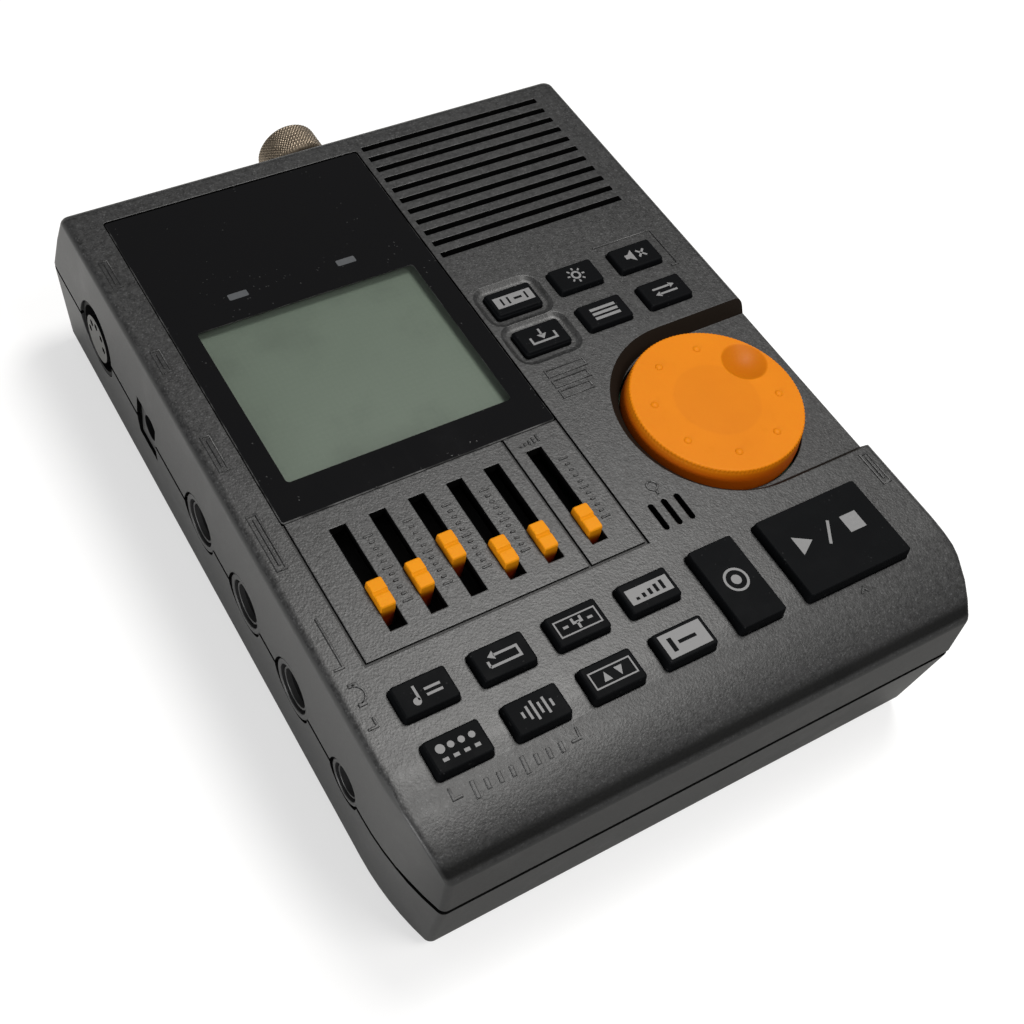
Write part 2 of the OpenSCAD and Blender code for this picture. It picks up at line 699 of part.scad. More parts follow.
module dial_encoder() {
  color(metal) difference() {
    union() {
      block(dial_x - 6, dial_x + 6, dial_y - 6, dial_y + 6, z_board, z_board + encoder_h);
      translate([dial_x, dial_y, z_board]) cylinder(h = z_dial_low - z_board - 0.3, r = bush_r);
    }
    translate([dial_x, dial_y, z_board + 0.4]) cylinder(h = 20, r = shaft_r + shaft_gap);
  }
}

function cap_y(i) = slot_y - fader_travel / 2 + cap_rest[i - 1];

// Cap with two lobes and a finger groove across
module fader_cap(i) {
  h = z_top + cap_rise;
  color(orange) translate([fader_x(i), cap_y(i), 0]) difference() {
    translate([-cap_w / 2, 0, 0]) rotate([90, 0, 90]) linear_extrude(cap_w) polygon([
      [-cap_l / 2 + 0.5, cap_low], [cap_l / 2 - 0.5, cap_low], [cap_l / 2, h - 1.3],
      [cap_l / 2 - 0.35, h - 0.6], [cap_l / 2 - 1.1, h - 0.2], [0.7, h], [0.3, h - 0.1],
      [0.05, h - 0.5], [-0.3, h - 0.2], [-0.7, h - 0.15], [-cap_l / 2 + 0.9, h - 0.4],
      [-cap_l / 2 + 0.3, h - 0.75], [-cap_l / 2, h - 1.5]]);
    block(-lever_w / 2 - 0.05, lever_w / 2 + 0.05, -lever_d / 2 - 0.05, lever_d / 2 + 0.05,
      cap_low - 1, z_top - 0.5);
  }
}

// Metal tongue that carries a cap
module fader_lever(i) {
  color(metal) {
    block(fader_x(i) - lever_w / 2, fader_x(i) + lever_w / 2, cap_y(i) - lever_d / 2,
      cap_y(i) + lever_d / 2, z_pot - 1.5, z_top - 0.6);
    block(fader_x(i) - lever_w / 2 - 1, fader_x(i) + lever_w / 2 + 1, cap_y(i) - lever_d / 2 - 1,
      cap_y(i) + lever_d / 2 + 1, z_pot - 3.3, z_pot - 1.4);
  }
}

module fader_cap_1() { fader_cap(1); }
module fader_cap_2() { fader_cap(2); }
module fader_cap_3() { fader_cap(3); }
module fader_cap_4() { fader_cap(4); }
module fader_cap_5() { fader_cap(5); }
module fader_cap_6() { fader_cap(6); }
module fader_lever_1() { fader_lever(1); }
module fader_lever_2() { fader_lever(2); }
module fader_lever_3() { fader_lever(3); }
module fader_lever_4() { fader_lever(4); }
module fader_lever_5() { fader_lever(5); }
module fader_lever_6() { fader_lever(6); }

module fader_bodies() {
  reach = fader_travel / 2 + lever_d / 2 + 0.6;
  color(metal) for (i = [1:6]) difference() {
    block(fader_x(i) - pot_w / 2, fader_x(i) + pot_w / 2, slot_y - pot_l / 2, slot_y + pot_l / 2,
      z_board, z_pot);
    block(fader_x(i) - lever_w / 2 - 0.3, fader_x(i) + lever_w / 2 + 0.3, slot_y - reach, slot_y + reach,
      z_pot - 2, z_pot + 1);
    block(fader_x(i) - lever_w / 2 - 1.4, fader_x(i) + lever_w / 2 + 1.4, slot_y - reach - 1.2,
      slot_y + reach + 1.2, z_pot - 4, z_pot - 1.1);
  }
}

// Key cap with a flange under the case and a stem over its switch
module key_piece(i, w, d, rise) {
  color(key_col) translate([KEYS[i][0], KEYS[i][1], 0]) {
    plate(rounded(w, d, key_r), z_ceil - flange_gap - flange_t, z_top + rise);
    plate(rounded(w + 2 * flange_w, d + 2 * flange_w, key_r), z_ceil - flange_gap - flange_t,
      z_ceil - flange_gap);
    translate([0, 0, z_switch + key_travel + stem_gap])
      cylinder(h = z_ceil - flange_gap - z_switch - key_travel - stem_gap - 0.5, r = stem_r);
  }
}

module power_key() { key_piece(0, key_w, key_d, rear_rise - dish_h * 0.8); }
module light_key() { key_piece(1, key_w, key_d, rear_rise); }
module mute_key() { key_piece(2, key_w, key_d, rear_rise); }
module write_key() { key_piece(3, key_w, key_d, rear_rise - dish_h * 0.8); }
module memory_key() { key_piece(4, key_w, key_d, rear_rise); }
module sync_key() { key_piece(5, key_w, key_d, rear_rise); }
module tempo_key() { key_piece(6, key_w, key_d, key_rise); }
module loop_key() { key_piece(7, key_w, key_d, key_rise); }
module tune_key() { key_piece(8, key_w, key_d, key_rise); }
module coach_key() { key_piece(9, key_w, key_d, key_rise); }
module pattern_key() { key_piece(10, key_w, key_d, key_rise); }
module voice_key() { key_piece(11, key_w, key_d, key_rise); }
module pitch_key() { key_piece(12, key_w, key_d, key_rise); }
module guide_key() { key_piece(13, key_w, key_d, key_rise); }
module tap_key() { key_piece(14, tap_w, big_d, big_rise); }
module start_key() { key_piece(15, start_w, big_d, big_rise); }

module key_switches() {
  color(dark) for (p = KEYS) translate([p[0], p[1], z_board]) {
    translate([-switch_w / 2, -switch_w / 2, 0]) cube([switch_w, switch_w, switch_h]);
    cylinder(h = switch_h + switch_nub, r = 1.75);
  }
}

module main_board() {
  front = -y_end + 13.2;
  edge = speaker_y - speaker_r - 4.8;
  color(green) difference() {
    plate([[-x_side + 3.9, front], [x_side - 5.2, front], [x_side - 5.2, edge],
      [win_right + 1.8, edge], [win_right + 1.8, lamp_y + 4], [-x_side + 3.9, lamp_y + 4]],
      z_board_low, z_board);
    for (p = POSTS) translate([p[0], p[1], z_board_low - 1]) cylinder(h = board_t + 2, r = 1.2);
  }
}

// Small board under the round socket
module socket_board() {
  z1 = z_seam - din_seat;
  d = din_r + 0.4;
  color(green) block(-x_side + 5.2, -x_side + din_l + 9, din_y - d, din_y + d, z1 - board_t, z1);
}

module speaker_frame() {
  r = speaker_r;
  color(dark) translate([speaker_x, speaker_y, z_ceil]) rotate_extrude() polygon([
    [r, 0], [r, -1.2], [r - 2.5, -1.2], [magnet_r + 1, -basket_h], [0, -basket_h],
    [0, -basket_h + 1], [magnet_r + 0.3, -basket_h + 1], [r - 3.6, -1.2], [r - 3.6, 0]]);
}

module speaker_cone() {
  r = speaker_r - 4.2;
  color([0.15, 0.15, 0.15]) translate([speaker_x, speaker_y, z_ceil]) rotate_extrude() polygon([
    [0, -3.2], [3, -3.6], [5, -4.6], [r - 2, -1.6], [r - 1, -0.6], [r, -0.6], [r, -1.2],
    [r - 0.8, -1.4], [5.2, -5.4], [5, -basket_h + 1.4], [0, -basket_h + 1.4]]);
}

module speaker_magnet() {
  color(metal) translate([speaker_x, speaker_y, z_ceil - basket_h - magnet_h])
    cylinder(h = magnet_h, r = magnet_r);
}

module microphone() {
  color(dark) translate([mic_x, mic_y, z_board]) cylinder(h = z_ceil - z_board, r = mic_r);
}

module sync_socket() {
  x0 = -x_side + face_in + 0.3;
  color(dark) difference() {
    union() {
      rod_x(x0, x0 + din_l, din_y, z_seam, din_r);
      rod_x(x0 - 0.4, x0 + 4, din_y, z_seam, din_face);
      block(x0 + 4.5, x0 + din_l, din_y - din_r, din_y + din_r, z_seam - din_seat, z_seam + din_r);
    }
    difference() {
      rod_x(x0 - 1, x0 + 4, din_y, z_seam, din_r - 0.9);
      rod_x(x0 - 1, x0 + 5, din_y, z_seam, din_face);
    }
    for (a = [0:45:180]) rod_x(x0 - 1, x0 + 9, din_y + 3.7 * cos(a), z_seam + 3.7 * sin(a), 0.8);
  }
}

module dc_inlet() {
  x0 = -x_side + face_in + 0.6;
  color(dark) {
    difference() {
      block(x0, x0 + dc_l, dc_y - dc_w / 2, dc_y + dc_w / 2, z_seam - jack_half, z_seam + jack_half);
      rod_x(x0 - 1, x0 + 10, dc_y, z_seam, 2.9);
    }
    rod_x(x0 + 0.8, x0 + 10.5, dc_y, z_seam, 1.05);
  }
}

// Large phone jack with its mouth at the origin, opening to -X
module phone_jack() {
  difference() {
    union() {
      rod_x(0, collar_l + 0.5, 0, 0, jack_r);
      block(collar_l, jack_l, -jack_w / 2, jack_w / 2, -jack_half, jack_half);
    }
    rod_x(-1, jack_l - 2, 0, 0, jack_bore);
  }
}

module phone_jacks() {
  color(dark) for (y = jack_y) translate([-x_side + face_in, y, z_seam]) phone_jack();
}

module input_jacks() {
  color(dark) for (y = input_y) translate([x_side - face_in, y, z_seam]) rotate([0, 0, 180]) phone_jack();
}

module mini_jack() {
  color(dark) translate([-x_side + face_in, mini_y, z_seam]) difference() {
    union() {
      rod_x(0, collar_l + 0.5, 0, 0, mini_r);
      block(collar_l, mini_l, -mini_w / 2, mini_w / 2, -mini_r + 0.4, jack_half);
    }
    rod_x(-1, mini_l - 1, 0, 0, mini_bore);
  }
}

module clamp_block() {
  color(metal) difference() {
    block(-block_w / 2, block_w / 2, block_front, block_rear, z_floor, z_block);
    translate([0, rod_y, z_floor - 1]) cylinder(h = rod_l - wall + 1, r = rod_r);
    rod_y(0, rod_y, shoe_y + shoe_l + 0.2, z_clamp, shoe_r + shoe_gap);
    rod_y(0, rod_y, block_rear + 1, z_clamp, screw_r + shank_gap);
  }
}

module clamp_shoe() {
  color([0.75, 0.6, 0.35]) rod_y(0, shoe_y, shoe_y + shoe_l, z_clamp, shoe_r);
}

module thumb_screw() {
  y1 = knob_y + knob_l;
  color([0.5, 0.45, 0.38]) translate([0, 0, z_clamp]) rotate([-90, 0, 0]) rotate_extrude() polygon([
    [0, shoe_y + shoe_l], [screw_r, shoe_y + shoe_l], [screw_r, knob_y - 0.2], [knob_r - 1.6, knob_y],
    [knob_r, knob_y + 0.7], [knob_r, y1 - 0.9], [knob_r - 0.9, y1], [knob_r - 2.4, y1],
    [knob_r - 2.9, y1 - 0.5], [0, y1 - 0.5]]);
}

module battery() {
  x0 = -bay_l / 2 + 0.5 + clip_l + post_l;
  zc = z_battery + battery_h / 2;
  color([0.25, 0.25, 0.28]) {
    block(x0, x0 + battery_l, -battery_w / 2, battery_w / 2, z_battery, z_battery + battery_h);
    rod_x(x0 - post_l, x0 + 0.5, 6.35, zc, 2.6);
    rod_x(x0 - post_l, x0 + 0.5, -6.35, zc, 3.8);
  }
}

module battery_clip() {
  x0 = -bay_l / 2;
  zc = z_battery + battery_h / 2;
  color(dark) block(x0, x0 + clip_l + 0.5, -12, 12, zc - 5.5, zc + 5.5);
}

module battery_door() {
  color(case_col) {
    block(-door_w / 2, door_w / 2, -door_d / 2, hinge_y, z_under, z_under + door_t);
    rod_x(-door_w / 2, door_w / 2, hinge_y, hinge_z, hinge_r);
    rod_x(-door_w / 2 - pin_l, door_w / 2 + pin_l, hinge_y, hinge_z, hinge_pin);
  }
}

module rubber_feet() {
  color([0.05, 0.05, 0.05]) for (p = FEET) translate([p[0], p[1], 0])
    cylinder(h = z_under + 0.4, r = foot_r);
}

module case_screws() {
  color(metal) for (p = BOSSES) translate([p[0], p[1], 0]) difference() {
    union() {
      translate([0, 0, z_seam - head_seat - 1.8]) cylinder(h = 1.8, r = 2.8);
      translate([0, 0, z_seam - head_seat - 0.2]) cylinder(h = 13, r = 1.45);
    }
    for (a = [0, 90]) rotate([0, 0, a])
      block(-1.6, 1.6, -0.35, 0.35, z_seam - head_seat - 2, z_seam - head_seat - 1);
  }
}

module board_screws() {
  color(metal) for (p = POSTS) translate([p[0], p[1], 0]) {
    translate([0, 0, z_board_low - 1.3]) cylinder(h = 1.3, r = 1.9);
    translate([0, 0, z_board_low - 0.2]) cylinder(h = 7, r = 0.95);
  }
}

module centred() {
  translate([0, -y_mid, 0]) children();
}

centred() upper_case();
centred() lower_case();
centred() display_window();
centred() lcd_panel();
centred() lcd_holder();
centred() beat_lamps();
centred() dial();
centred() dial_shaft();
centred() dial_encoder();
centred() fader_cap_1();
centred() fader_cap_2();
centred() fader_cap_3();
centred() fader_cap_4();
centred() fader_cap_5();
centred() fader_cap_6();
centred() fader_lever_1();
centred() fader_lever_2();
centred() fader_lever_3();
centred() fader_lever_4();
centred() fader_lever_5();
centred() fader_lever_6();
centred() fader_bodies();
centred() power_key();
centred() light_key();
centred() mute_key();
centred() write_key();
centred() memory_key();
centred() sync_key();
centred() tempo_key();
centred() loop_key();
centred() tune_key();
centred() coach_key();
centred() pattern_key();
centred() voice_key();
centred() pitch_key();
centred() guide_key();
centred() tap_key();
centred() start_key();
centred() key_switches();
centred() main_board();
centred() socket_board();
centred() speaker_frame();
centred() speaker_cone();
centred() speaker_magnet();
centred() microphone();
centred() sync_socket();
centred() dc_inlet();
centred() phone_jacks();
centred() mini_jack();
centred() input_jacks();
centred() thumb_screw();
centred() clamp_shoe();
centred() clamp_block();
centred() battery();
centred() battery_clip();
centred() battery_door();
centred() rubber_feet();
centred() case_screws();
centred() board_screws();
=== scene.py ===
import math

import bmesh
import bpy
from mathutils import Matrix, Vector


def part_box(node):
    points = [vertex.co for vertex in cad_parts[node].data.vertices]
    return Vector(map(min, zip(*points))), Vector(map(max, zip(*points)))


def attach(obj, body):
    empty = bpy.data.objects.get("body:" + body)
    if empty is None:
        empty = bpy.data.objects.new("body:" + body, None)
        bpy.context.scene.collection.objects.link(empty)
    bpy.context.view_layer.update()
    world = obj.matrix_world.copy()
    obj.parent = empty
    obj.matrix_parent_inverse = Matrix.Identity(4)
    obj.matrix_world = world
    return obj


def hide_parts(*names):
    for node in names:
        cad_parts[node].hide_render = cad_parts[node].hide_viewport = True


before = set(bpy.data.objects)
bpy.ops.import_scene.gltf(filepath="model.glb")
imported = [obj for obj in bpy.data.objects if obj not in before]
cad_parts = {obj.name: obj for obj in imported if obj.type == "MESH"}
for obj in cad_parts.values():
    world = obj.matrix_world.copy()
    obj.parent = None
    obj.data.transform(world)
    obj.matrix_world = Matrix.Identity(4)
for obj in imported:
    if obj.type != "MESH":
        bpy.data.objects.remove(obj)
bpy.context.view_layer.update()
MM = 0.001

# Places in millimetres, with the origin under the middle of the case.
case_low, case_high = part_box("upper_case")
MID_Y = (case_low.y + case_high.y) / 2 / MM
TOP = case_high.z / MM
SIDE = case_high.x / MM
SLOT_Y = -29.93
SEAM = 24.5
CEILING = TOP - 2.2


def spot(x, y, z):
    """A place in the frame, in metres, from millimetres about the case."""
    return Vector((x, y + MID_Y, z)) * MM


# Finishes

def feed(tree, socket, value):
    if isinstance(value, Value):
        tree.links.new(value.socket, socket)
    elif isinstance(value, (tuple, list)) and socket.type == "RGBA" and len(value) == 3:
        socket.default_value = (*value, 1.0)
    else:
        socket.default_value = value


class Value:
    """A shader socket that takes part in Python arithmetic through Math nodes."""

    def __init__(self, tree, socket):
        self.tree, self.socket = tree, socket

    def math(self, operation, *values, clamp=False):
        node = self.tree.nodes.new("ShaderNodeMath")
        node.operation = operation
        node.use_clamp = clamp
        for socket, value in zip(node.inputs, values):
            feed(self.tree, socket, value)
        return Value(self.tree, node.outputs[0])

    def __add__(self, other):
        return self.math("ADD", self, other)

    def __sub__(self, other):
        return self.math("SUBTRACT", self, other)

    def __rsub__(self, other):
        return self.math("SUBTRACT", other, self)

    def __mul__(self, other):
        return self.math("MULTIPLY", self, other)

    def __gt__(self, other):
        return self.math("GREATER_THAN", self, other)

    __radd__ = __add__
    __rmul__ = __mul__

    def clamped(self):
        return self.math("ADD", self, 0.0, clamp=True)

    def alone(self, operation):
        """One operation on this value by itself, such as SINE or FRACT."""
        return self.math(operation, self)


class Finish:
    """One procedural material. Every node apart from arithmetic comes from node()."""

    def __init__(self, name):
        self.material = bpy.data.materials.new(name)
        self.material.use_nodes = True
        self.tree = self.material.node_tree
        self.tree.nodes.clear()
        self.place = self.node("ShaderNodeTexCoord", out="Object")

    def node(self, kind, settings=None, sockets=None, out=0):
        node = self.tree.nodes.new(kind)
        for key, value in (settings or {}).items():
            setattr(node, key, value)
        for key, value in (sockets or {}).items():
            feed(self.tree, node.inputs[key], value)
        return Value(self.tree, node.outputs[out])

    def noise(self, scale, detail=3.0, rough=0.55, stretch=None):
        place = self.place if stretch is None else self.stretched(stretch)
        return self.node("ShaderNodeTexNoise", None,
                         {"Vector": place, "Scale": scale, "Detail": detail, "Roughness": rough})

    def stretched(self, factors):
        return self.node("ShaderNodeVectorMath", {"operation": "MULTIPLY"}, {0: self.place, 1: factors})

    def cells(self, scale, out="Distance"):
        return self.node("ShaderNodeTexVoronoi", None, {"Vector": self.place, "Scale": scale}, out)

    def chance(self, scale):
        """A number from 0 to 1 that differs from cell to cell."""
        return self.node("ShaderNodeSeparateColor", None, {"Color": self.cells(scale, "Color")})

    def axis(self, index):
        return self.node("ShaderNodeSeparateXYZ", None, {"Vector": self.place}, index)

    def away(self, point):
        return self.node("ShaderNodeVectorMath", {"operation": "DISTANCE"}, {0: self.place, 1: point},
                         "Value")

    def mix(self, share, first, second):
        return self.node("ShaderNodeMix", {"data_type": "RGBA"}, {0: share, 6: first, 7: second}, 2)

    def step(self, value, low, high):
        return self.node("ShaderNodeMapRange", {"interpolation_type": "SMOOTHSTEP"},
                         {"Value": value, "From Min": low, "From Max": high})

    def soft_edge(self, radius):
        return self.node("ShaderNodeBevel", {"samples": 6}, {"Radius": radius})

    def edges(self, rounded):
        """How far the rounded normal leans away from the surface: 1 along sharp edges."""
        true = self.node("ShaderNodeNewGeometry", out="Normal")
        level = self.node("ShaderNodeVectorMath", {"operation": "DOT_PRODUCT"}, {0: rounded, 1: true},
                          "Value")
        return ((1.0 - level) * 5.0).clamped()

    def bump(self, height, distance, strength=1.0, normal=None):
        sockets = {"Height": height, "Distance": distance, "Strength": strength}
        if normal is not None:
            sockets["Normal"] = normal
        return self.node("ShaderNodeBump", None, sockets)

    def body(self, **sockets):
        names = {key.replace("_", " ").title(): value for key, value in sockets.items()}
        names = {{"Ior": "IOR", "Specular": "Specular IOR Level"}.get(key, key): value
                 for key, value in names.items()}
        shader = self.node("ShaderNodeBsdfPrincipled", None, names)
        output = self.tree.nodes.new("ShaderNodeOutputMaterial")
        self.tree.links.new(shader.socket, output.inputs["Surface"])
        return self.material


def case_plastic():
    """Moulded grey plastic: grain on top, smooth sides, pale worn edges, painted shade along the brow in
    front and on the recess ledge left of the dial.
    """
    f = Finish("case_grain")
    turned = f.node("ShaderNodeTexCoord", out="Normal")
    top = f.step(f.node("ShaderNodeSeparateXYZ", None, {"Vector": turned}, 2), 0.55, 0.93)
    front = f.step(f.node("ShaderNodeSeparateXYZ", None, {"Vector": turned}, 1), -0.35, -0.6)
    # Painted shade: a dark band along the brow, where the front roll turns down into the front face.
    brow_shade = front * f.step(f.axis(2), *BROW_SHADE_FOOT) * f.step(f.axis(2), *BROW_SHADE_HEAD)
    # Painted shade on the recess ledge left of the dial, low beside the dial wall.
    below_top = f.step(f.axis(2), 0.0425, 0.0418)
    left_of_dial = f.step(f.axis(0), DIAL_HUB.x - 0.002, DIAL_HUB.x - 0.008)
    ledge_shade = f.step(f.away(DIAL_HUB), 0.0235, 0.0225) * below_top * left_of_dial
    fine = f.noise(2500, 2.0, 0.6)
    lumps = f.noise(900, 3.0, 0.75)
    pits = f.cells(1900)
    speck = (f.chance(3300) > 0.86) * f.step(fine, 0.42, 0.62) * top
    broad = f.noise(22, 4.0)
    rounded_edge = f.soft_edge(0.0003)
    worn = f.edges(rounded_edge) * f.step(f.noise(160), 0.35, 0.6)
    grain = fine * 0.5 + lumps * 0.5 + pits * 0.3
    mottle = (lumps - 0.5) * 1.8 + (fine - 0.5) * 0.9
    tone = (mottle * (0.15 + 0.85 * top) + 0.3 + broad * 0.3).clamped()
    base = f.mix(tone, CASE_DARK, CASE_LIGHT)
    base = f.mix(speck * 0.07, base, (0.4, 0.4, 0.41))
    # Painted shade on the brow.
    base = f.mix(brow_shade * 0.97, base, (0.0006, 0.0006, 0.0006))
    base = f.mix(worn * 0.2, base, (0.15, 0.15, 0.155))
    # Painted shade on the ledge.
    base = f.mix(ledge_shade * 0.95, base, (0.0025, 0.0018, 0.0012))
    smear = f.step(f.noise(60, 5.0, 0.65), 0.5, 0.75)
    return f.body(
        base_color=base,
        roughness=(0.34 + 0.1 * fine - 0.05 * smear + 0.05 * broad - 0.05 * worn).clamped(),
        normal=f.bump(grain * (0.1 + 0.9 * top), 0.00011, 0.6, rounded_edge), specular=0.5)


def key_plastic():
    """Dense black key plastic with a fine matte grain, patches polished by touch and faint dust."""
    f = Finish("key_black")
    fine = f.noise(3200, 2.0)
    dust = (f.chance(3400) > 0.985) * f.step(f.noise(240), 0.5, 0.62)
    touch = f.step(f.noise(130, 4.0), 0.42, 0.7)
    base = f.mix(fine, (0.0018, 0.002, 0.0024), (0.004, 0.0044, 0.005))
    base = f.mix(dust * 0.05, base, (0.2, 0.2, 0.2))
    return f.body(base_color=base, roughness=(0.5 + 0.16 * fine - 0.1 * touch).clamped(),
                  normal=f.bump(fine, 0.00003, 0.5), specular=0.035)


def orange_plastic(name, dark, light, dirt, foot, specular, hub=None, dimple=None):
    """Satin orange plastic with painted shade down the walls, darker and redder towards the foot; fingers
    have polished the hub and the dimple, and the dimple is also darkened with painted shade.
    """
    f = Finish(name)
    fine = f.noise(1900, 2.0)
    cloud = f.noise(75, 4.0)
    grime = f.step(f.noise(420, 5.0, 0.7), 0.56, 0.74)
    base = f.mix(cloud, dark, light)
    base = f.mix(grime * dirt, base, (0.3, 0.09, 0.005))
    # Painted shade: the walls go darker and redder towards the foot.
    high, low, deep = foot
    base = f.mix(f.step(f.axis(2), high * MM, low * MM), base, deep)
    rough = 0.44 + 0.14 * fine + 0.1 * grime
    # The hub is a darker polished disc; the dimple is polished and also darkened as painted shade in its
    # hollow.
    for middle, reach, share in ((hub, 0.0092, 0.18), (dimple, 0.0049, 0.85)):
        if middle is not None:
            rubbed_and_shaded = f.step(f.away(middle) + 0.0006 * (cloud - 0.5), reach + 0.0004, reach - 0.0004)
            base = f.mix(rubbed_and_shaded * share, base, (0.38, 0.1, 0.001))
            rough = rough - 0.08 * rubbed_and_shaded
    return f.body(base_color=base, roughness=rough.clamped(),
                  normal=f.bump(fine, 0.00003, 0.35), specular=specular,
                  subsurface_weight=0.08, subsurface_radius=(0.002, 0.0008, 0.0003), subsurface_scale=0.5)


def window_black():
    """Gloss black printed window with hairline scratches and finger haze."""
    f = Finish("window_black")
    haze = f.step(f.noise(45, 5.0, 0.6), 0.45, 0.75)
    hair = f.step(f.noise(900, 2.0, 0.5, (1.0, 0.03, 1.0)), 0.66, 0.72)
    dust = (f.chance(3800) > 0.992) * f.step(f.noise(120), 0.52, 0.6)
    base = f.mix(dust * 0.07, (0.003, 0.003, 0.0034), (0.12, 0.12, 0.12))
    return f.body(base_color=base, roughness=(0.07 + 0.06 * haze + 0.02 * hair + 0.3 * dust).clamped(),
                  normal=f.bump(haze, 0.00001, 0.1), specular=0.5)


def window_clear():
    """Clear pane over the display, with a little haze."""
    f = Finish("window_clear")
    haze = f.step(f.noise(60, 5.0), 0.45, 0.75)
    return f.body(base_color=(0.02, 0.022, 0.02), roughness=(0.04 + 0.08 * haze).clamped(),
                  alpha=0.1 + 0.05 * haze, specular=0.5)


def display_glass():
    """Unlit liquid crystal: grey green with a fine cell grid."""
    f = Finish("display_glass")
    across, along = f.axis(0), f.axis(1)
    grid = ((across * CELL_LINES).alone("SINE") * (along * CELL_LINES).alone("SINE")).alone("ABSOLUTE")
    cloud = f.noise(30, 3.0)
    base = f.mix(cloud * 0.6 + grid * 0.15, (0.116, 0.149, 0.116), (0.152, 0.186, 0.15))
    return f.body(base_color=base, roughness=(0.3 + 0.1 * cloud).clamped(),
                  normal=f.bump(f.noise(900), 0.00001, 0.2), specular=0.4)


def print_grey():
    """Pale grey ink, a little uneven."""
    f = Finish("print_grey")
    ink = f.noise(1500, 3.0)
    base = f.mix(ink, (0.12, 0.12, 0.122), (0.17, 0.17, 0.172))
    return f.body(base_color=base, roughness=(0.5 + 0.15 * ink).clamped(),
                  normal=f.bump(ink, 0.00001, 0.3))


def metal(name, dark, light, rough, stretch, grime):
    """Plated or turned metal: drawn brush lines, tone changes and patches of grime."""
    f = Finish(name)
    brush = f.noise(700, 3.0, 0.6, stretch)
    cloud = f.noise(120, 4.0)
    dirt = f.step(f.noise(380, 5.0, 0.7), 0.5, 0.72)
    base = f.mix(cloud * 0.6 + brush * 0.4, dark, light)
    base = f.mix(dirt * grime, base, (0.05, 0.04, 0.03))
    return f.body(base_color=base, metallic=1.0 - 0.5 * grime * dirt,
                  roughness=(rough + 0.16 * brush + 0.2 * grime * dirt).clamped(),
                  normal=f.bump(brush, 0.00001, 0.3))


def moulding(name, dark, light, rough, scale=1400, height=0.00003, specular=0.5):
    """Plain moulded or pressed material: two tones, grain and a worn sheen."""
    f = Finish(name)
    fine = f.noise(scale, 3.0)
    cloud = f.noise(90, 4.0)
    base = f.mix(fine * 0.5 + cloud * 0.5, dark, light)
    return f.body(base_color=base, roughness=(rough + 0.14 * fine - 0.08 * cloud).clamped(),
                  normal=f.bump(fine, height, 0.4), specular=specular)


def edge_with_painted_glints():
    """Cut edge of the window: black, with short pale painted highlights (glints) along it."""
    f = Finish("window_edge")
    # Painted highlights: pale glints along the cut edge.
    painted_glint = f.step(f.noise(190, 3.0, 0.6), 0.42, 0.66)
    return f.body(base_color=f.mix(painted_glint, (0.012, 0.012, 0.0125), (0.075, 0.075, 0.075)),
                  roughness=(0.3 + 0.2 * painted_glint).clamped(), normal=f.bump(painted_glint, 0.00002, 0.3))


def circuit_board():
    """Green lacquer over close copper lines."""
    f = Finish("circuit_board")
    route = f.chance(420)
    line = ((f.axis(0) * COPPER_LINES).alone("FRACT") > 0.7) * (route > 0.5)
    base = f.mix(line * 0.6, (0.008, 0.07, 0.03), (0.03, 0.17, 0.07))
    return f.body(base_color=base, roughness=(0.3 + 0.1 * f.noise(500)).clamped(),
                  normal=f.bump(line, 0.00004, 0.4), coat_weight=0.3)


dial_low, dial_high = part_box("dial")
DIAL_HUB = Vector(((dial_low.x + dial_high.x) / 2, (dial_low.y + dial_high.y) / 2, dial_high.z - 0.0002))
# Heights in metres over which the painted shade on the brow above the front face fades, at its foot and its
# head.
BROW_SHADE_FOOT, BROW_SHADE_HEAD = (0.0361, 0.0368), (0.0389, 0.0375)
# Display cells in radians per metre, and copper lines per metre.
CELL_LINES, COPPER_LINES = 2400, 800
CASE_DARK, CASE_LIGHT = (0.007, 0.0071, 0.0073), (0.04, 0.0403, 0.0407)
CASE = case_plastic()
KEY = key_plastic()
DIMPLE_AT, DIMPLE_TURN = 13.1, math.radians(27.4)
DIMPLE = DIAL_HUB + Vector((math.cos(DIMPLE_TURN), math.sin(DIMPLE_TURN), -0.03)) * DIMPLE_AT * MM
ROOF = dial_high.z / MM
# The dial and the caps get painted shade low on their walls, darker and redder towards the foot.
DIAL = orange_plastic("dial_orange", (0.48, 0.137, 0.0014), (0.552, 0.166, 0.002), 0.08,
                      (ROOF - 0.5, ROOF - 3.0, (0.42, 0.078, 0.0011)), 0.1, DIAL_HUB, DIMPLE)
CAP = orange_plastic("cap_orange", (0.52, 0.178, 0.0028), (0.595, 0.22, 0.0045), 0.22,
                     (TOP + 1.2, TOP - 2.2, (0.17, 0.016, 0.0005)), 0.07)
WINDOW = window_black()
PANE = window_clear()
DISPLAY = display_glass()
PRINT = print_grey()
NICKEL = metal("knurled_nickel", (0.215, 0.172, 0.128), (0.385, 0.318, 0.242), 0.36, (1.0, 1.0, 1.0), 0.5)
BRASS = metal("turned_brass", (0.5, 0.36, 0.14), (0.66, 0.5, 0.23), 0.25, (0.1, 1.0, 1.0), 0.2)
STEEL = metal("steel", (0.42, 0.42, 0.42), (0.62, 0.62, 0.61), 0.28, (1.0, 1.0, 0.08), 0.15)
ALLOY = metal("cast_alloy", (0.36, 0.36, 0.37), (0.5, 0.5, 0.51), 0.42, (1.0, 1.0, 1.0), 0.2)
SOCKET = moulding("socket_black", (0.0025, 0.0025, 0.0027), (0.006, 0.006, 0.0064), 0.5, specular=0.12)
# Near-black painted shade for the walls of slots and holes and for the parting line.
SLOT = moulding("slot_black", (0.0012, 0.0012, 0.0012), (0.003, 0.003, 0.003), 0.7, specular=0.05)
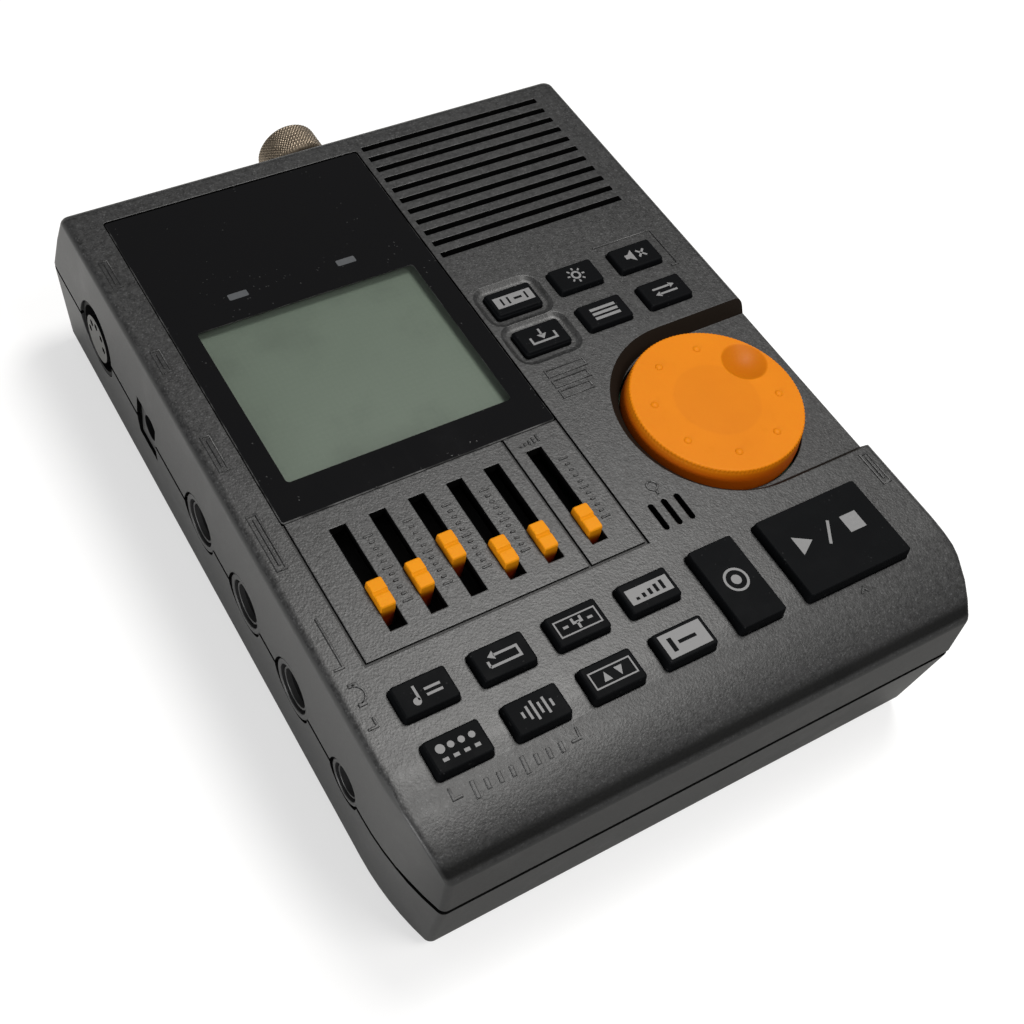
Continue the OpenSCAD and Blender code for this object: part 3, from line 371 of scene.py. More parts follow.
# Painted shade on the recess walls round the dial, tinted warm as painted light thrown back by the orange
# dial.
RECESS = moulding("recess_wall", (0.0066, 0.0045, 0.003), (0.012, 0.0082, 0.0055), 0.6, specular=0.08)
DARK = moulding("inner_black", (0.008, 0.008, 0.008), (0.018, 0.018, 0.018), 0.55)
WHITE = moulding("holder_white", (0.3, 0.3, 0.29), (0.42, 0.42, 0.4), 0.5)
FOOT = moulding("foot_rubber", (0.008, 0.008, 0.008), (0.02, 0.02, 0.02), 0.75, 700, 0.00008)
PAPER = moulding("cone_paper", (0.012, 0.012, 0.012), (0.03, 0.03, 0.03), 0.8, 500, 0.0001)
CELL = moulding("battery_wrap", (0.02, 0.021, 0.026), (0.04, 0.042, 0.05), 0.22)
LAMP = moulding("lamp_red", (0.12, 0.03, 0.025), (0.2, 0.06, 0.05), 0.2)
SMOKE = moulding("lamp_window", (0.048, 0.051, 0.055), (0.07, 0.073, 0.078), 0.3)
BOARD = circuit_board()
COLLAR = moulding("socket_collar", (0.02, 0.02, 0.0203), (0.034, 0.034, 0.0345), 0.42)
FACE = moulding("socket_face", (0.05, 0.049, 0.046), (0.08, 0.079, 0.074), 0.45)
EDGE = edge_with_painted_glints()


# Mesh tools

class Shape:
    """Collects closed solids in millimetres and becomes one object."""

    def __init__(self):
        self.points, self.faces = [], []

    def rings(self, rings, close=True):
        """Skin over a stack of rings with the same count of points, lowest first, counter-clockwise."""
        start, n = len(self.points), len(rings[0])
        for ring in rings:
            self.points.extend(ring)
        for i in range(len(rings) - 1):
            for j in range(n):
                a, b = start + i * n + j, start + i * n + (j + 1) % n
                self.faces.append((a, b, b + n, a + n))
        if close:
            self.faces.append(tuple(start + j for j in reversed(range(n))))
            self.faces.append(tuple(start + (len(rings) - 1) * n + j for j in range(n)))
        return self

    def prism(self, outline, low, high):
        return self.rings([[(x, y, low) for x, y in outline], [(x, y, high) for x, y in outline]])

    def box(self, x0, x1, y0, y1, low, high):
        return self.prism([(x0, y0), (x1, y0), (x1, y1), (x0, y1)], low, high)

    def arc(self, x, y, radius, width, start, end, low, high, steps=24):
        """Part of a flat ring, between two angles in degrees."""
        turns = [math.radians(start + (end - start) * i / steps) for i in range(steps + 1)]
        far, near = radius + width / 2, radius - width / 2
        outer = [(x + far * math.cos(t), y + far * math.sin(t)) for t in turns]
        inner = [(x + near * math.cos(t), y + near * math.sin(t)) for t in turns]
        for i in range(steps):
            self.prism([inner[i], outer[i], outer[i + 1], inner[i + 1]], low, high)
        return self

    def disc(self, x, y, radius, low, high, steps=28):
        return self.prism([(x + radius * math.cos(t), y + radius * math.sin(t))
                           for t in [math.tau * i / steps for i in range(steps)]], low, high)

    def frame(self, x0, x1, y0, y1, width, low, high):
        self.box(x0, x1, y0, y0 + width, low, high)
        self.box(x0, x1, y1 - width, y1, low, high)
        self.box(x0, x0 + width, y0 + width, y1 - width, low, high)
        return self.box(x1 - width, x1, y0 + width, y1 - width, low, high)

    def lathe(self, profile, steps, turn=None):
        """Revolves (radius, height) pairs about Z; turn maps each point to its place."""
        turn = turn or (lambda p: p)
        ring_at = []
        for radius, height in profile:
            if radius < 1e-6:
                ring_at.append([len(self.points)])
                self.points.append(turn((0.0, 0.0, height)))
                continue
            ring_at.append(list(range(len(self.points), len(self.points) + steps)))
            for i in range(steps):
                t = math.tau * i / steps
                self.points.append(turn((radius * math.cos(t), radius * math.sin(t), height)))
        for lower, upper in zip(ring_at, ring_at[1:]):
            for j in range(steps):
                k = (j + 1) % steps
                loop = [lower[j % len(lower)], lower[k % len(lower)],
                        upper[k % len(upper)], upper[j % len(upper)]]
                loop = list(dict.fromkeys(loop))
                if len(loop) > 2:
                    self.faces.append(tuple(loop))
        return self

    def make(self, name, material, body, slot, stands_for=(), smooth=35.0, bevel=0.0, segments=3):
        mesh = bpy.data.meshes.new(name)
        mesh.from_pydata([spot(*p) for p in self.points], [], self.faces)
        thing = bpy.data.objects.new(name, mesh)
        bpy.context.scene.collection.objects.link(thing)
        return dress(thing, material, body, stands_for, smooth, bevel, segments)


def dress(thing, material, body, stands_for=(), smooth=35.0, bevel=0.0, segments=3):
    """Cleans a mesh, rounds its sharp edges, sets its shading and lets it ride its body."""
    mesh = thing.data
    tool = bmesh.new()
    tool.from_mesh(mesh)
    bmesh.ops.remove_doubles(tool, verts=tool.verts, dist=0.000002)
    bmesh.ops.recalc_face_normals(tool, faces=tool.faces)
    limit = math.radians(smooth)
    if bevel:
        sharp = [e for e in tool.edges if len(e.link_faces) == 2 and e.calc_face_angle(0.0) > limit]
        bmesh.ops.bevel(tool, geom=sharp, offset=bevel * MM, offset_type="OFFSET", segments=segments,
                        profile=0.5, affect="EDGES", clamp_overlap=True)
    for face in tool.faces:
        face.smooth = True
    for edge in tool.edges:
        edge.smooth = not (len(edge.link_faces) == 2 and edge.calc_face_angle(0.0) > limit)
    tool.to_mesh(mesh)
    tool.free()
    even = thing.modifiers.new("even_shading", "WEIGHTED_NORMAL")
    even.keep_sharp = True
    even.weight = 90
    mesh.materials.clear()
    mesh.materials.append(material)
    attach(thing, body)
    if stands_for:
        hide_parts(*stands_for)
    return thing


def from_solid(node, name, material, body, smooth=30.0, bevel=0.0):
    """A dressed copy of a CAD solid, with flat triangles merged."""
    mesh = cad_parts[node].data.copy()
    mesh.name = name
    tool = bmesh.new()
    tool.from_mesh(mesh)
    bmesh.ops.remove_doubles(tool, verts=tool.verts, dist=0.000002)
    bmesh.ops.dissolve_limit(tool, angle_limit=math.radians(0.4), verts=tool.verts, edges=tool.edges)
    tool.to_mesh(mesh)
    tool.free()
    thing = bpy.data.objects.new(name, mesh)
    bpy.context.scene.collection.objects.link(thing)
    return dress(thing, material, body, (node,), smooth, bevel, 2)


def rounded(width, depth, radius, x=0.0, y=0.0, steps=6):
    """Outline of a rectangle with round corners, counter-clockwise."""
    radius = max(radius, 0.02)
    points = []
    for sx, sy, start in ((1, 1, 0), (-1, 1, 90), (-1, -1, 180), (1, -1, 270)):
        for i in range(steps + 1):
            t = math.radians(start + 90 * i / steps)
            points.append((x + sx * (width / 2 - radius) + radius * math.cos(t),
                           y + sy * (depth / 2 - radius) + radius * math.sin(t)))
    return points


def ribbon(points, width):
    """Left and right edge of a stroke along a path, mitred at its corners; a path may close on itself."""
    closed = points[0] == points[-1]
    path = [Vector(p) for p in (points[:-1] if closed else points)]
    pairs = []
    for i, here in enumerate(path):
        ways = []
        if i or closed:
            ways.append((here - path[i - 1]).normalized())
        if i + 1 < len(path) or closed:
            ways.append((path[(i + 1) % len(path)] - here).normalized())
        outs = [Vector((-way.y, way.x)) for way in ways]
        out = outs[0] if len(outs) == 1 else (outs[0] + outs[1]) / (1.0 + outs[0].dot(outs[1]))
        pairs.append((here + out * width / 2, here - out * width / 2))
    return pairs + pairs[:1] if closed else pairs


def along_x(x, y, z, side):
    """Turns a lathe so that its height runs outward along X on one side of the case."""
    return lambda p: (x + side * p[2], y + side * p[0], z + p[1])


def centre(node):
    """Middle of a solid, seen from above, in millimetres about the case."""
    low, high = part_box(node)
    middle = (low + high) / 2 / MM
    return middle.x, middle.y - MID_Y


# Shells

# Place along the case and reach of each hole, on the left and the right side
SOCKET_HOLES = {-1: ((5.9, 7.3), (-15.2, 7.3), (-35.8, 7.3), (-56.8, 5.7), (32.4, 8.4)),
                1: ((-29.0, 7.3), (-51.2, 7.3))}
RECESS_X, RECESS_Y, RECESS_RADIUS = 40.5, -23.45, 22.5
RECESS_SHIFT = 1.0
SLIT_FRONT, SLIT_SIDE = 0.5, 0.2
FRONT_Y = -75.0
VIEW_ROOM = 1.5


def black_slots(shell):
    """Opens the parting line, recess and display hole a little, and darkens as painted shade the slot and
    hole walls, the parting line, the panel groove and the recess walls.
    """
    for dark_skin in (SLOT, RECESS, DARK):
        shell.data.materials.append(dark_skin)
    view_x, view_y = centre("lcd_panel")
    for corner in shell.data.vertices:
        x, y, z = corner.co.x / MM, corner.co.y / MM - MID_Y, corner.co.z / MM
        if 0.2 < abs(z - SEAM) < 0.34:
            corner.co.z += math.copysign(SLIT_FRONT if y < FRONT_Y else SLIT_SIDE, z - SEAM) * MM
        on_rim = abs(math.hypot(x - RECESS_X, y - RECESS_Y) - RECESS_RADIUS) < 0.1
        if abs(z - TOP) < 0.02 and x < RECESS_X + 0.01 and on_rim:
            corner.co.x -= RECESS_SHIFT * MM
        if TOP - 4.5 < z < TOP - 1.4 and abs(x - view_x) < 26.0 and abs(y - view_y) < 21.4:
            corner.co.x += math.copysign(VIEW_ROOM, x - view_x) * MM
            corner.co.y += math.copysign(VIEW_ROOM, y - view_y) * MM
    shell.data.update()
    for face in shell.data.polygons:
        x, y, z = face.center.x / MM, face.center.y / MM - MID_Y, face.center.z / MM
        in_recess = (math.hypot(x - RECESS_X, y - RECESS_Y) < RECESS_RADIUS + 1.5
                     or (x > RECESS_X and abs(y - RECESS_Y) < RECESS_RADIUS + 1.1))
        in_top = abs(x) < 57.0 and -72.5 < y < 75.5 and CEILING - 3.0 < z < TOP - 0.06
        in_groove = -56.0 < x < 7.0 and -52.0 < y < -12.0 and TOP - 0.7 < z < TOP - 0.3
        in_hole = abs(x) > SIDE - 6.5 and abs(face.normal.x) < 0.5 and any(
            math.hypot(y - at, z - SEAM) < reach for at, reach in SOCKET_HOLES[1 if x > 0 else -1])
        wall = in_top and face.normal.z < 0.3 and not in_recess
        in_seam = abs(z - SEAM) < (0.85 if abs(face.normal.z) > 0.5 else 0.3)
        # Painted shade: the floor of the panel groove goes dark.
        if in_groove:
            face.material_index = 3
        # Painted shade: slot and key-hole walls, socket holes and the slit of the parting line go near
        # black.
        elif in_seam or wall or in_hole:
            face.material_index = 1
        # Painted shade on the recess walls.
        elif in_recess and face.normal.z < 0.8 and TOP - 4.0 < z < TOP - 0.06:
            face.material_index = 2


black_slots(from_solid("upper_case", "upper_shell", CASE, "case", 24.0))
black_slots(from_solid("lower_case", "lower_shell", CASE, "case", 24.0))
from_solid("battery_door", "battery_hatch", CASE, "battery_door", 30.0, 0.25)
from_solid("rubber_feet", "feet", FOOT, "case", 30.0, 0.5)
from_solid("case_screws", "screws", STEEL, "case", 30.0, 0.15)


# Window and display

LAMP_Y = 42.85


def window():
    """Black printed window, hollow behind its clear view, with two smoked lamp covers."""
    low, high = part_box("display_window")
    x, y = centre("display_window")
    z0, z1 = low.z / MM, TOP - 0.03
    wide, deep = (high.x - low.x) / MM - 0.2, (high.y - low.y) / MM - 0.2
    view_x0, view_x1, view_y0, view_y1 = -50.05, 0.5, -5.0, 36.4
    view = (view_x1 - view_x0, view_y1 - view_y0, (view_x0 + view_x1) / 2, (view_y0 + view_y1) / 2)
    outer, edge = rounded(wide, deep, 0.65, x, y), rounded(wide - 0.4, deep - 0.4, 0.45, x, y)
    hole = rounded(view[0], view[1], 0.8, *view[2:])
    under = rounded(view[0] + 2 * VIEW_ROOM, view[1] + 2 * VIEW_ROOM, 1.5, *view[2:])
    mask = Shape()
    mask.rings([[(p, q, z) for p, q in outline] for outline, z in (
        (under, z0), (outer, z0), (outer, z1 - 0.2), (edge, z1), (hole, z1), (hole, z1 - 0.2),
        (under, z1 - 0.4), (under, z0))], close=False)
    thing = mask.make("window_mask", WINDOW, "case", "window", ("display_window",), 30.0)
    thing.data.materials.append(EDGE)
    # The bevel round the top of the mask gets the painted highlights.
    for face in thing.data.polygons:
        if 0.01 < z1 - face.center.z / MM < 0.19:
            face.material_index = 1
    pane = Shape().prism(hole, z1 - 0.18, z1 - 0.01)
    pane.make("window_pane", PANE, "case", "window", (), 30.0)
    for name, lamp_x in (("lamp_window_left", -37.8), ("lamp_window_right", -12.4)):
        cover = Shape().prism(rounded(4.4, 1.7, 0.3, lamp_x, LAMP_Y), z1 - 0.03, z1 + 0.012)
        cover.make(name, SMOKE, "case", "window", (), 30.0)


def display():
    """Glass panel lifted close under the window."""
    low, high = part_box("lcd_panel")
    x, y = centre("lcd_panel")
    wide, deep = (high.x - low.x) / MM, (high.y - low.y) / MM
    z0, z1 = low.z / MM, high.z / MM + 1.2
    glass = Shape()
    glass.rings([[(p, q, z) for p, q in rounded(wide - 2 * k, deep - 2 * k, 0.6, x, y)]
                 for z, k in ((z0, 0.3), (z0 + 0.3, 0.0), (z1 - 0.25, 0.0), (z1 - 0.05, 0.2))])
    glass.make("display_panel", DISPLAY, "case", "lcd", ("lcd_panel",), 30.0)


window()
display()


# Dial

DIAL_RADIUS = (dial_high.x - dial_low.x) / MM / 2
TEETH, TOOTH = 132, 0.2
DOT, DOT_HEIGHT = 0.85, 0.4
DIMPLE_RADIUS, DIMPLE_DEPTH = 5.0, 1.5
RIM = DIAL_RADIUS - 0.5


def dial():
    """Hollow wheel with a toothed edge, a finger dimple and seven raised dots."""
    x, y = centre("dial")
    floor, roof = dial_low.z / MM, dial_high.z / MM
    steps = TEETH * 4
    dent_x, dent_y = DIMPLE_AT * math.cos(DIMPLE_TURN), DIMPLE_AT * math.sin(DIMPLE_TURN)

    def ring(radius, height, tooth=0.0):
        points = []
        for i in range(steps):
            t = math.tau * i / steps
            r = radius - tooth * (0.5 - 0.5 * math.cos(t * TEETH))
            px, py, pz = r * math.cos(t), r * math.sin(t), height
            reach = math.hypot(px - dent_x, py - dent_y) / DIMPLE_RADIUS
            if height > roof - 0.5 and reach < 1.0:
                pz -= DIMPLE_DEPTH * (1.0 - reach * reach)
            points.append((x + px, y + py, pz))
        return points

    wheel = Shape()
    skin = [ring(2.0, roof - 3.2), ring(16.4, roof - 3.2), ring(16.4, floor),
            ring(DIAL_RADIUS - 0.5, floor), ring(DIAL_RADIUS - 0.05, floor + 0.4),
            ring(DIAL_RADIUS, floor + 0.8)]
    for radius, height, tooth in (
            (DIAL_RADIUS, TOP - 3.0, 0.0), (RIM + 0.1, roof - 1.7, 0.0), (RIM + 0.04, roof - 1.35, 0.06),
            (RIM, roof - 1.05, 0.18), (RIM, roof - 0.9, TOOTH)):
        skin.append(ring(radius, height, tooth))
    for k in range(1, 6):
        t = math.radians(90 * k / 5)
        skin.append(ring(RIM - 0.5 + 0.5 * math.cos(t), roof - 0.9 + 0.5 * math.sin(t), TOOTH * (1 - k / 6)))
    radius = RIM - 0.62
    while radius > DIMPLE_AT - DIMPLE_RADIUS - 0.7:
        skin.append(ring(radius, roof - DOT_HEIGHT))
        radius -= 0.16
    skin.append(ring(2.0, roof - DOT_HEIGHT))
    wheel.rings(skin)
    for i in range(1, 8):
        t = DIMPLE_TURN + math.radians(45 * i)
        px, py = x + (DIMPLE_AT + 0.6) * math.cos(t), y + (DIMPLE_AT + 0.6) * math.sin(t)
        dome = [(DOT * math.cos(math.radians(a)), roof - 0.45 + 0.45 * math.sin(math.radians(a)))
                for a in (0, 18, 36, 54, 72, 90)]
        wheel.lathe([(0.0, roof - 0.6), (DOT, roof - 0.6)] + dome[:-1] + [(0.0, dome[-1][1])], 24,
                    lambda p, px=px, py=py: (px + p[0], py + p[1], p[2]))
    wheel.make("tempo_dial", DIAL, "dial", "orange", ("dial",), 22.0)


dial()


# Faders

FADER_X = [-46.1, -37.65, -29.2, -20.75, -12.3, -2.35]
TICKS, TICK_PITCH, TICK_AWAY = 11, 1.53, 4.25


def fader_cap(index):
    """Two lobes with a finger groove between them, on a tongue that reaches down through the slot."""
    x, y = centre(f"fader_cap_{index}")
    low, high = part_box(f"fader_cap_{index}")
    half, long = (high.x - low.x) / MM / 2, (high.y - low.y) / MM / 2
    z0, h = low.z / MM, high.z / MM
    tongue = [(-long + 0.1, z0), (long - 0.1, z0), (long, TOP - 0.6)]
    rear_lobe = [(long - 0.12, h - 0.55), (long - 0.24, h - 0.25), (long - 0.5, h - 0.08), (0.66, h)]
    groove = [(0.4, h - 0.03), (0.2, h - 0.3), (0.0, h - 0.42), (-0.2, h - 0.36), (-0.42, h - 0.2)]
    front_lobe = [(-0.66, h - 0.16), (-long + 0.6, h - 0.24), (-long + 0.34, h - 0.36),
                  (-long + 0.16, h - 0.62), (-long, TOP - 0.6)]
    side = tongue + rear_lobe + groove + front_lobe
    cap = Shape()
    edge = ((0.0, 0.3), (0.06, 0.15), (0.16, 0.05), (0.3, 0.0))
    cuts = [(-half + k, drop) for k, drop in edge] + [(half - k, drop) for k, drop in reversed(edge)]
    cap.rings([[(x + px, y + v * (1 - drop / long), w - drop if w > TOP else w) for v, w in side]
               for px, drop in cuts])
    cap.make(f"cap_{index}", CAP, f"fader_{index}", "orange", (f"fader_cap_{index}",), 26.0)


for number in range(1, 7):
    fader_cap(number)


def fader_scales():
    """Eleven raised ticks beside five of the six slots, none beside the fifth: long at both ends and in the
    middle.
    """
    ticks = Shape()
    for x in FADER_X[:4] + FADER_X[5:]:
        for i in range(TICKS):
            y = SLOT_Y + (i - TICKS // 2) * TICK_PITCH
            half = 1.05 if i % 5 == 0 else 0.55
            ticks.rings([[(p, q, z) for p, q in rounded(2 * half - k, 0.46 - k, 0.16, x + TICK_AWAY, y, 3)]
                         for z, k in ((TOP - 0.1, 0.0), (TOP + 0.12, 0.0), (TOP + 0.24, 0.16))])
    ticks.make("fader_scales", CASE, "case", "case", (), 30.0)


fader_scales()


# Keys

KEY_FLANGE = 1.0
SIGN_SCALE = 1.22


def key_body(name):
    """A key top with rounded edges over a flange and a stem. Gives its middle and its height."""
    x, y = centre(name)
    low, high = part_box(name)
    wide, deep = (high.x - low.x) / MM - 2 * KEY_FLANGE, (high.y - low.y) / MM - 2 * KEY_FLANGE
    roof, floor = high.z / MM - 0.02, low.z / MM
    curve = 0.28 if deep > 8.0 else 0.45
    stem = CEILING - 1.3
    levels = [(stem, -KEY_FLANGE), (CEILING - 0.12, -KEY_FLANGE), (CEILING - 0.12, -0.14), (TOP, -0.14),
              (roof - curve, 0.06)]
    for k in range(1, 6):
        t = math.radians(18 * k)
        levels.append((roof - curve + curve * math.sin(t), 0.06 + curve - curve * math.cos(t)))
    key = Shape()
    key.rings([[(p, q, z) for p, q in rounded(wide - 2 * k, deep - 2 * k, max(0.62 - k * 0.5, 0.4), x, y)]
               for z, k in levels])
    key.lathe([(0.0, floor), (1.7, floor), (1.9, floor + 0.2), (1.9, stem + 0.1), (0.0, stem + 0.1)], 24,
              lambda p: (x + p[0], y + p[1], p[2]))
    key.make(name.replace("_key", "_button"), KEY, name, "key", (name,), 32.0)
    return x, y, roof


class Mark(Shape):
    """A printed sign on a key: a thin layer of ink, drawn about the middle of the key top."""

    def __init__(self, name):
        super().__init__()
        self.name = name
        self.x, self.y, roof = key_body(name)
        self.low, self.high = roof - 0.02, roof + 0.015
        self.scale = SIGN_SCALE

    def bar(self, x0, x1, y0, y1):
        k = self.scale
        return self.box(self.x + k * x0, self.x + k * x1, self.y + k * y0, self.y + k * y1,
                        self.low, self.high)

    def stroke(self, *points, width=0.42):
        k = self.scale
        edges = ribbon([(self.x + k * p, self.y + k * q) for p, q in points], k * width)
        for (left, right), (next_left, next_right) in zip(edges, edges[1:]):
            self.prism([tuple(right), tuple(next_right), tuple(next_left), tuple(left)],
                       self.low, self.high)
        return self

    def curve(self, x, y, radius, start=0, end=360, width=0.42):
        k = self.scale
        return self.arc(self.x + k * x, self.y + k * y, k * radius, k * width, start, end,
                        self.low, self.high)

    def dot(self, x, y, radius):
        k = self.scale
        return self.disc(self.x + k * x, self.y + k * y, k * radius, self.low, self.high)

    def fill(self, *points):
        k = self.scale
        return self.prism([(self.x + k * p, self.y + k * q) for p, q in points], self.low, self.high)

    def border(self, wide, deep, width=0.3):
        w, d = self.scale * wide / 2, self.scale * deep / 2
        return self.frame(self.x - w, self.x + w, self.y - d, self.y + d, width, self.low, self.high)

    def done(self):
        return self.make(self.name.replace("_key", "_mark"), PRINT, self.name, "white", (), 30.0)


def plate_with_signs(mark, wide, deep, bars):
    """A pale printed plate with dark bars left open in it."""
    left = -wide / 2
    for x0, x1, y0, y1 in bars:
        mark.bar(left, x0, -deep / 2, deep / 2)
        mark.bar(x0, x1, -deep / 2, y0)
        mark.bar(x0, x1, y1, deep / 2)
        left = x1
    return mark.bar(left, wide / 2, -deep / 2, deep / 2)


def key_marks():
    """A plain sign for every key, drawn with bars, strokes, dots and rings."""
    mark = Mark("power_key")
    plate_with_signs(mark, 7.6, 2.5, [(-2.6, -2.2, -0.8, 0.8), (-1.3, -0.9, -0.8, 0.8),
                                      (0.0, 1.6, -0.25, 0.25), (2.3, 2.7, -0.8, 0.8)]).done()
    mark = Mark("light_key")
    mark.curve(0, 0, 0.75, width=0.4)
    for i in range(8):
        t = math.radians(45 * i)
        mark.stroke(*[(r * math.cos(t), r * math.sin(t)) for r in (1.2, 1.75)], width=0.34)
    mark.done()
    mark = Mark("mute_key")
    mark.fill((-2.2, -0.5), (-1.4, -0.5), (-0.4, -1.4), (-0.4, 1.4), (-1.4, 0.5), (-2.2, 0.5))
    mark.stroke((0.5, -0.8), (2.1, 0.8)).stroke((0.5, 0.8), (2.1, -0.8)).done()
    mark = Mark("write_key")
    mark.stroke((-2.4, 0.2), (-2.4, -1.2), (2.4, -1.2), (2.4, 0.2))
    mark.stroke((0, 1.6), (0, 0.2)).fill((-0.95, 0.35), (0, -0.75), (0.95, 0.35)).done()
    mark = Mark("memory_key")
    for i in range(3):
        mark.bar(-2.6, 2.6, -1.35 + i * 1.02, -0.75 + i * 1.02)
    mark.done()
    mark = Mark("sync_key")
    mark.stroke((-2.3, 0.65), (1.4, 0.65)).fill((1.3, 0.05), (2.4, 0.65), (1.3, 1.25))
    mark.stroke((2.3, -0.65), (-1.4, -0.65)).fill((-1.3, -1.25), (-1.3, -0.05), (-2.4, -0.65)).done()
    mark = Mark("tempo_key")
    mark.dot(-1.75, -0.95, 0.62).stroke((-1.3, -0.9), (-1.3, 1.5)).stroke((0.0, 0.35), (2.6, 0.35))
    mark.stroke((0.0, -0.6), (2.6, -0.6)).done()
    mark = Mark("loop_key")
    mark.stroke((-2.6, -0.9), (2.6, -0.9), (2.6, 0.75), (-1.3, 0.75)).stroke((-2.6, -0.9), (-2.6, 0.1))
    mark.fill((-1.2, 0.05), (-1.2, 1.5), (-2.3, 0.75)).done()
    mark = Mark("tune_key")
    mark.border(7.4, 2.9).stroke((-0.7, 0.95), (-0.7, 0.1), (0.7, 0.1), (0.7, 0.95))
    mark.stroke((0, 0.1), (0, -1.0)).stroke((-2.6, 0), (-1.7, 0)).stroke((1.7, 0), (2.6, 0)).done()
    mark = Mark("coach_key")
    plate_with_signs(mark, 7.6, 2.7, [(-2.7, -2.1, -0.8, -0.3), (-1.5, -0.9, -0.8, 0.0),
                                      (-0.3, 0.3, -0.8, 0.3), (0.9, 1.5, -0.8, 0.6),
                                      (2.1, 2.7, -0.8, 0.85)]).done()
    mark = Mark("pattern_key")
    for i in range(4):
        mark.dot(-2.55 + 1.7 * i, 0.75, 0.52 if i else 0.72)
    for i in range(4):
        mark.bar(-3.0 + 1.7 * i, -2.1 + 1.7 * i, -1.25, -0.7)
    mark.done()
    mark = Mark("voice_key")
    for i, tall in enumerate((0.5, 1.1, 1.6, 0.9, 1.35, 0.6)):
        mark.bar(-2.6 + i * 0.96, -2.2 + i * 0.96, -tall, tall)
    mark.done()
    mark = Mark("pitch_key")
    mark.border(7.4, 2.9).fill((-1.9, -0.75), (-0.5, -0.75), (-1.2, 0.8))
    mark.fill((0.5, 0.75), (1.2, -0.8), (1.9, 0.75)).done()
    mark = Mark("guide_key")
    plate_with_signs(mark, 7.6, 4.1, [(-2.7, -1.9, -1.2, 1.2), (-1.2, 2.0, -0.3, 0.3)]).done()
    mark = Mark("tap_key")
    mark.dot(0, 0.2, 0.85).curve(0, 0.2, 1.9).done()
    mark = Mark("start_key")
    mark.fill((-6.6, -0.9), (-3.6, 0.9), (-6.6, 2.7)).stroke((-1.3, -1.0), (1.0, 2.8), width=0.5)
    mark.bar(3.2, 6.4, -0.7, 2.5).done()


key_marks()


# Raised signs on the case

ROLL_START, ROLL_RADIUS = -66.0, 26.0


def top_at(y):
    """Level of the top: flat, then falling over the front roll."""
    drop = max(0.0, ROLL_START - y)
    return TOP - ROLL_RADIUS + math.sqrt(ROLL_RADIUS * ROLL_RADIUS - drop * drop)


class Relief(Shape):
    """Low raised strokes moulded into the top."""

    def stroke(self, *points, width=0.5):
        foot, crown = ribbon(points, width), ribbon(points, width - 0.22)
        levels = [(foot, -0.15), (foot, 0.14), (crown, 0.28)]
        for i in range(len(points) - 1):
            rings = []
            for edges, lift in levels:
                loop = (edges[i][1], edges[i + 1][1], edges[i + 1][0], edges[i][0])
                rings.append([(p.x, p.y, top_at(p.y) + lift) for p in loop])
            self.rings(rings)
        return self

    def block(self, x0, x1, y0, y1, width=0.46):
        """Outline of a rectangle."""
        return self.stroke((x0, y0), (x1, y0), (x1, y1), (x0, y1), (x0, y0), width=width)

    def bow(self, x, y, radius, start, end, steps=12, width=0.5):
        turns = [math.radians(start + (end - start) * i / steps) for i in range(steps + 1)]
        path = [(x + radius * math.cos(t), y + radius * math.sin(t)) for t in turns]
        return self.stroke(*path, width=width)


def case_signs():
    """Plain raised signs in the colour of the case: level ramp, ring, bars, brackets and a headset."""
    signs = Relief()
    # Level ramp behind the sixth slot
    for i in range(5):
        signs.stroke((-4.4 + i * 1.05, -16.6), (-4.4 + i * 1.05, -16.3 + i * 0.34), width=0.5)
    # Ring and stem behind the microphone slots
    signs.bow(14.4, -35.4, 1.1, 0, 345, 14).stroke((14.4, -36.6), (14.4, -37.6), width=0.5)
    # Three framed bars between the rear keys and the dial
    for i, wide in enumerate((9.4, 8.4, 7.4)):
        signs.block(10.6, 10.6 + wide, -3.4 - i * 2.9, -1.6 - i * 2.9, width=0.46)
    # Bracket round the upper right key
    signs.stroke((40.0, 24.6), (55.6, 24.6), (55.6, 13.2), (53.8, 13.2), width=0.5)
    # Bracket in front of the two left front keys, with a row of count bars
    signs.stroke((-53.4, -72.4), (-53.4, -74.4), (-51.6, -74.4))
    signs.stroke((-27.8, -72.4), (-27.8, -74.4), (-29.6, -74.4))
    for i in range(8):
        tall = 1.5 if i % 4 == 0 else 0.9
        signs.stroke((-49.2 + i * 2.5, -74.4 - tall), (-49.2 + i * 2.5, -74.4 + tall), width=0.85)
    # Labels along the left edge
    for y, long in ((58.5, 8.0), (32.4, 6.0), (7.0, 9.0), (-15.6, 13.0)):
        signs.block(-60.4, -58.6, y - long / 2, y + long / 2, width=0.46)
        signs.stroke((-59.5, y - long / 2 + 1.0), (-59.5, y + long / 2 - 1.0), width=0.5)
    # Headset over the two phone sockets
    signs.bow(-59.6, -50.6, 1.9, -80, 80, 10, 0.45).stroke((-59.9, -52.6), (-58.3, -52.6), width=0.8)
    signs.stroke((-59.9, -48.6), (-58.3, -48.6), width=0.8)
    signs.stroke((-60.6, -44.8), (-58.8, -44.8), (-58.8, -34.0), width=0.5)
    signs.stroke((-60.6, -57.4), (-58.8, -57.4), (-58.8, -55.6), width=0.5)
    # Label along the right edge
    signs.block(58.4, 60.2, -55.0, -47.4, width=0.46).stroke((59.3, -54.0), (59.3, -48.4), width=0.5)
    # Arrowhead in front of the start key
    signs.stroke((37.8, -73.4), (38.6, -72.4), (39.4, -73.4), width=0.5)
    signs.make("case_signs", CASE, "case", "case", (), 30.0)


case_signs()


# Sockets

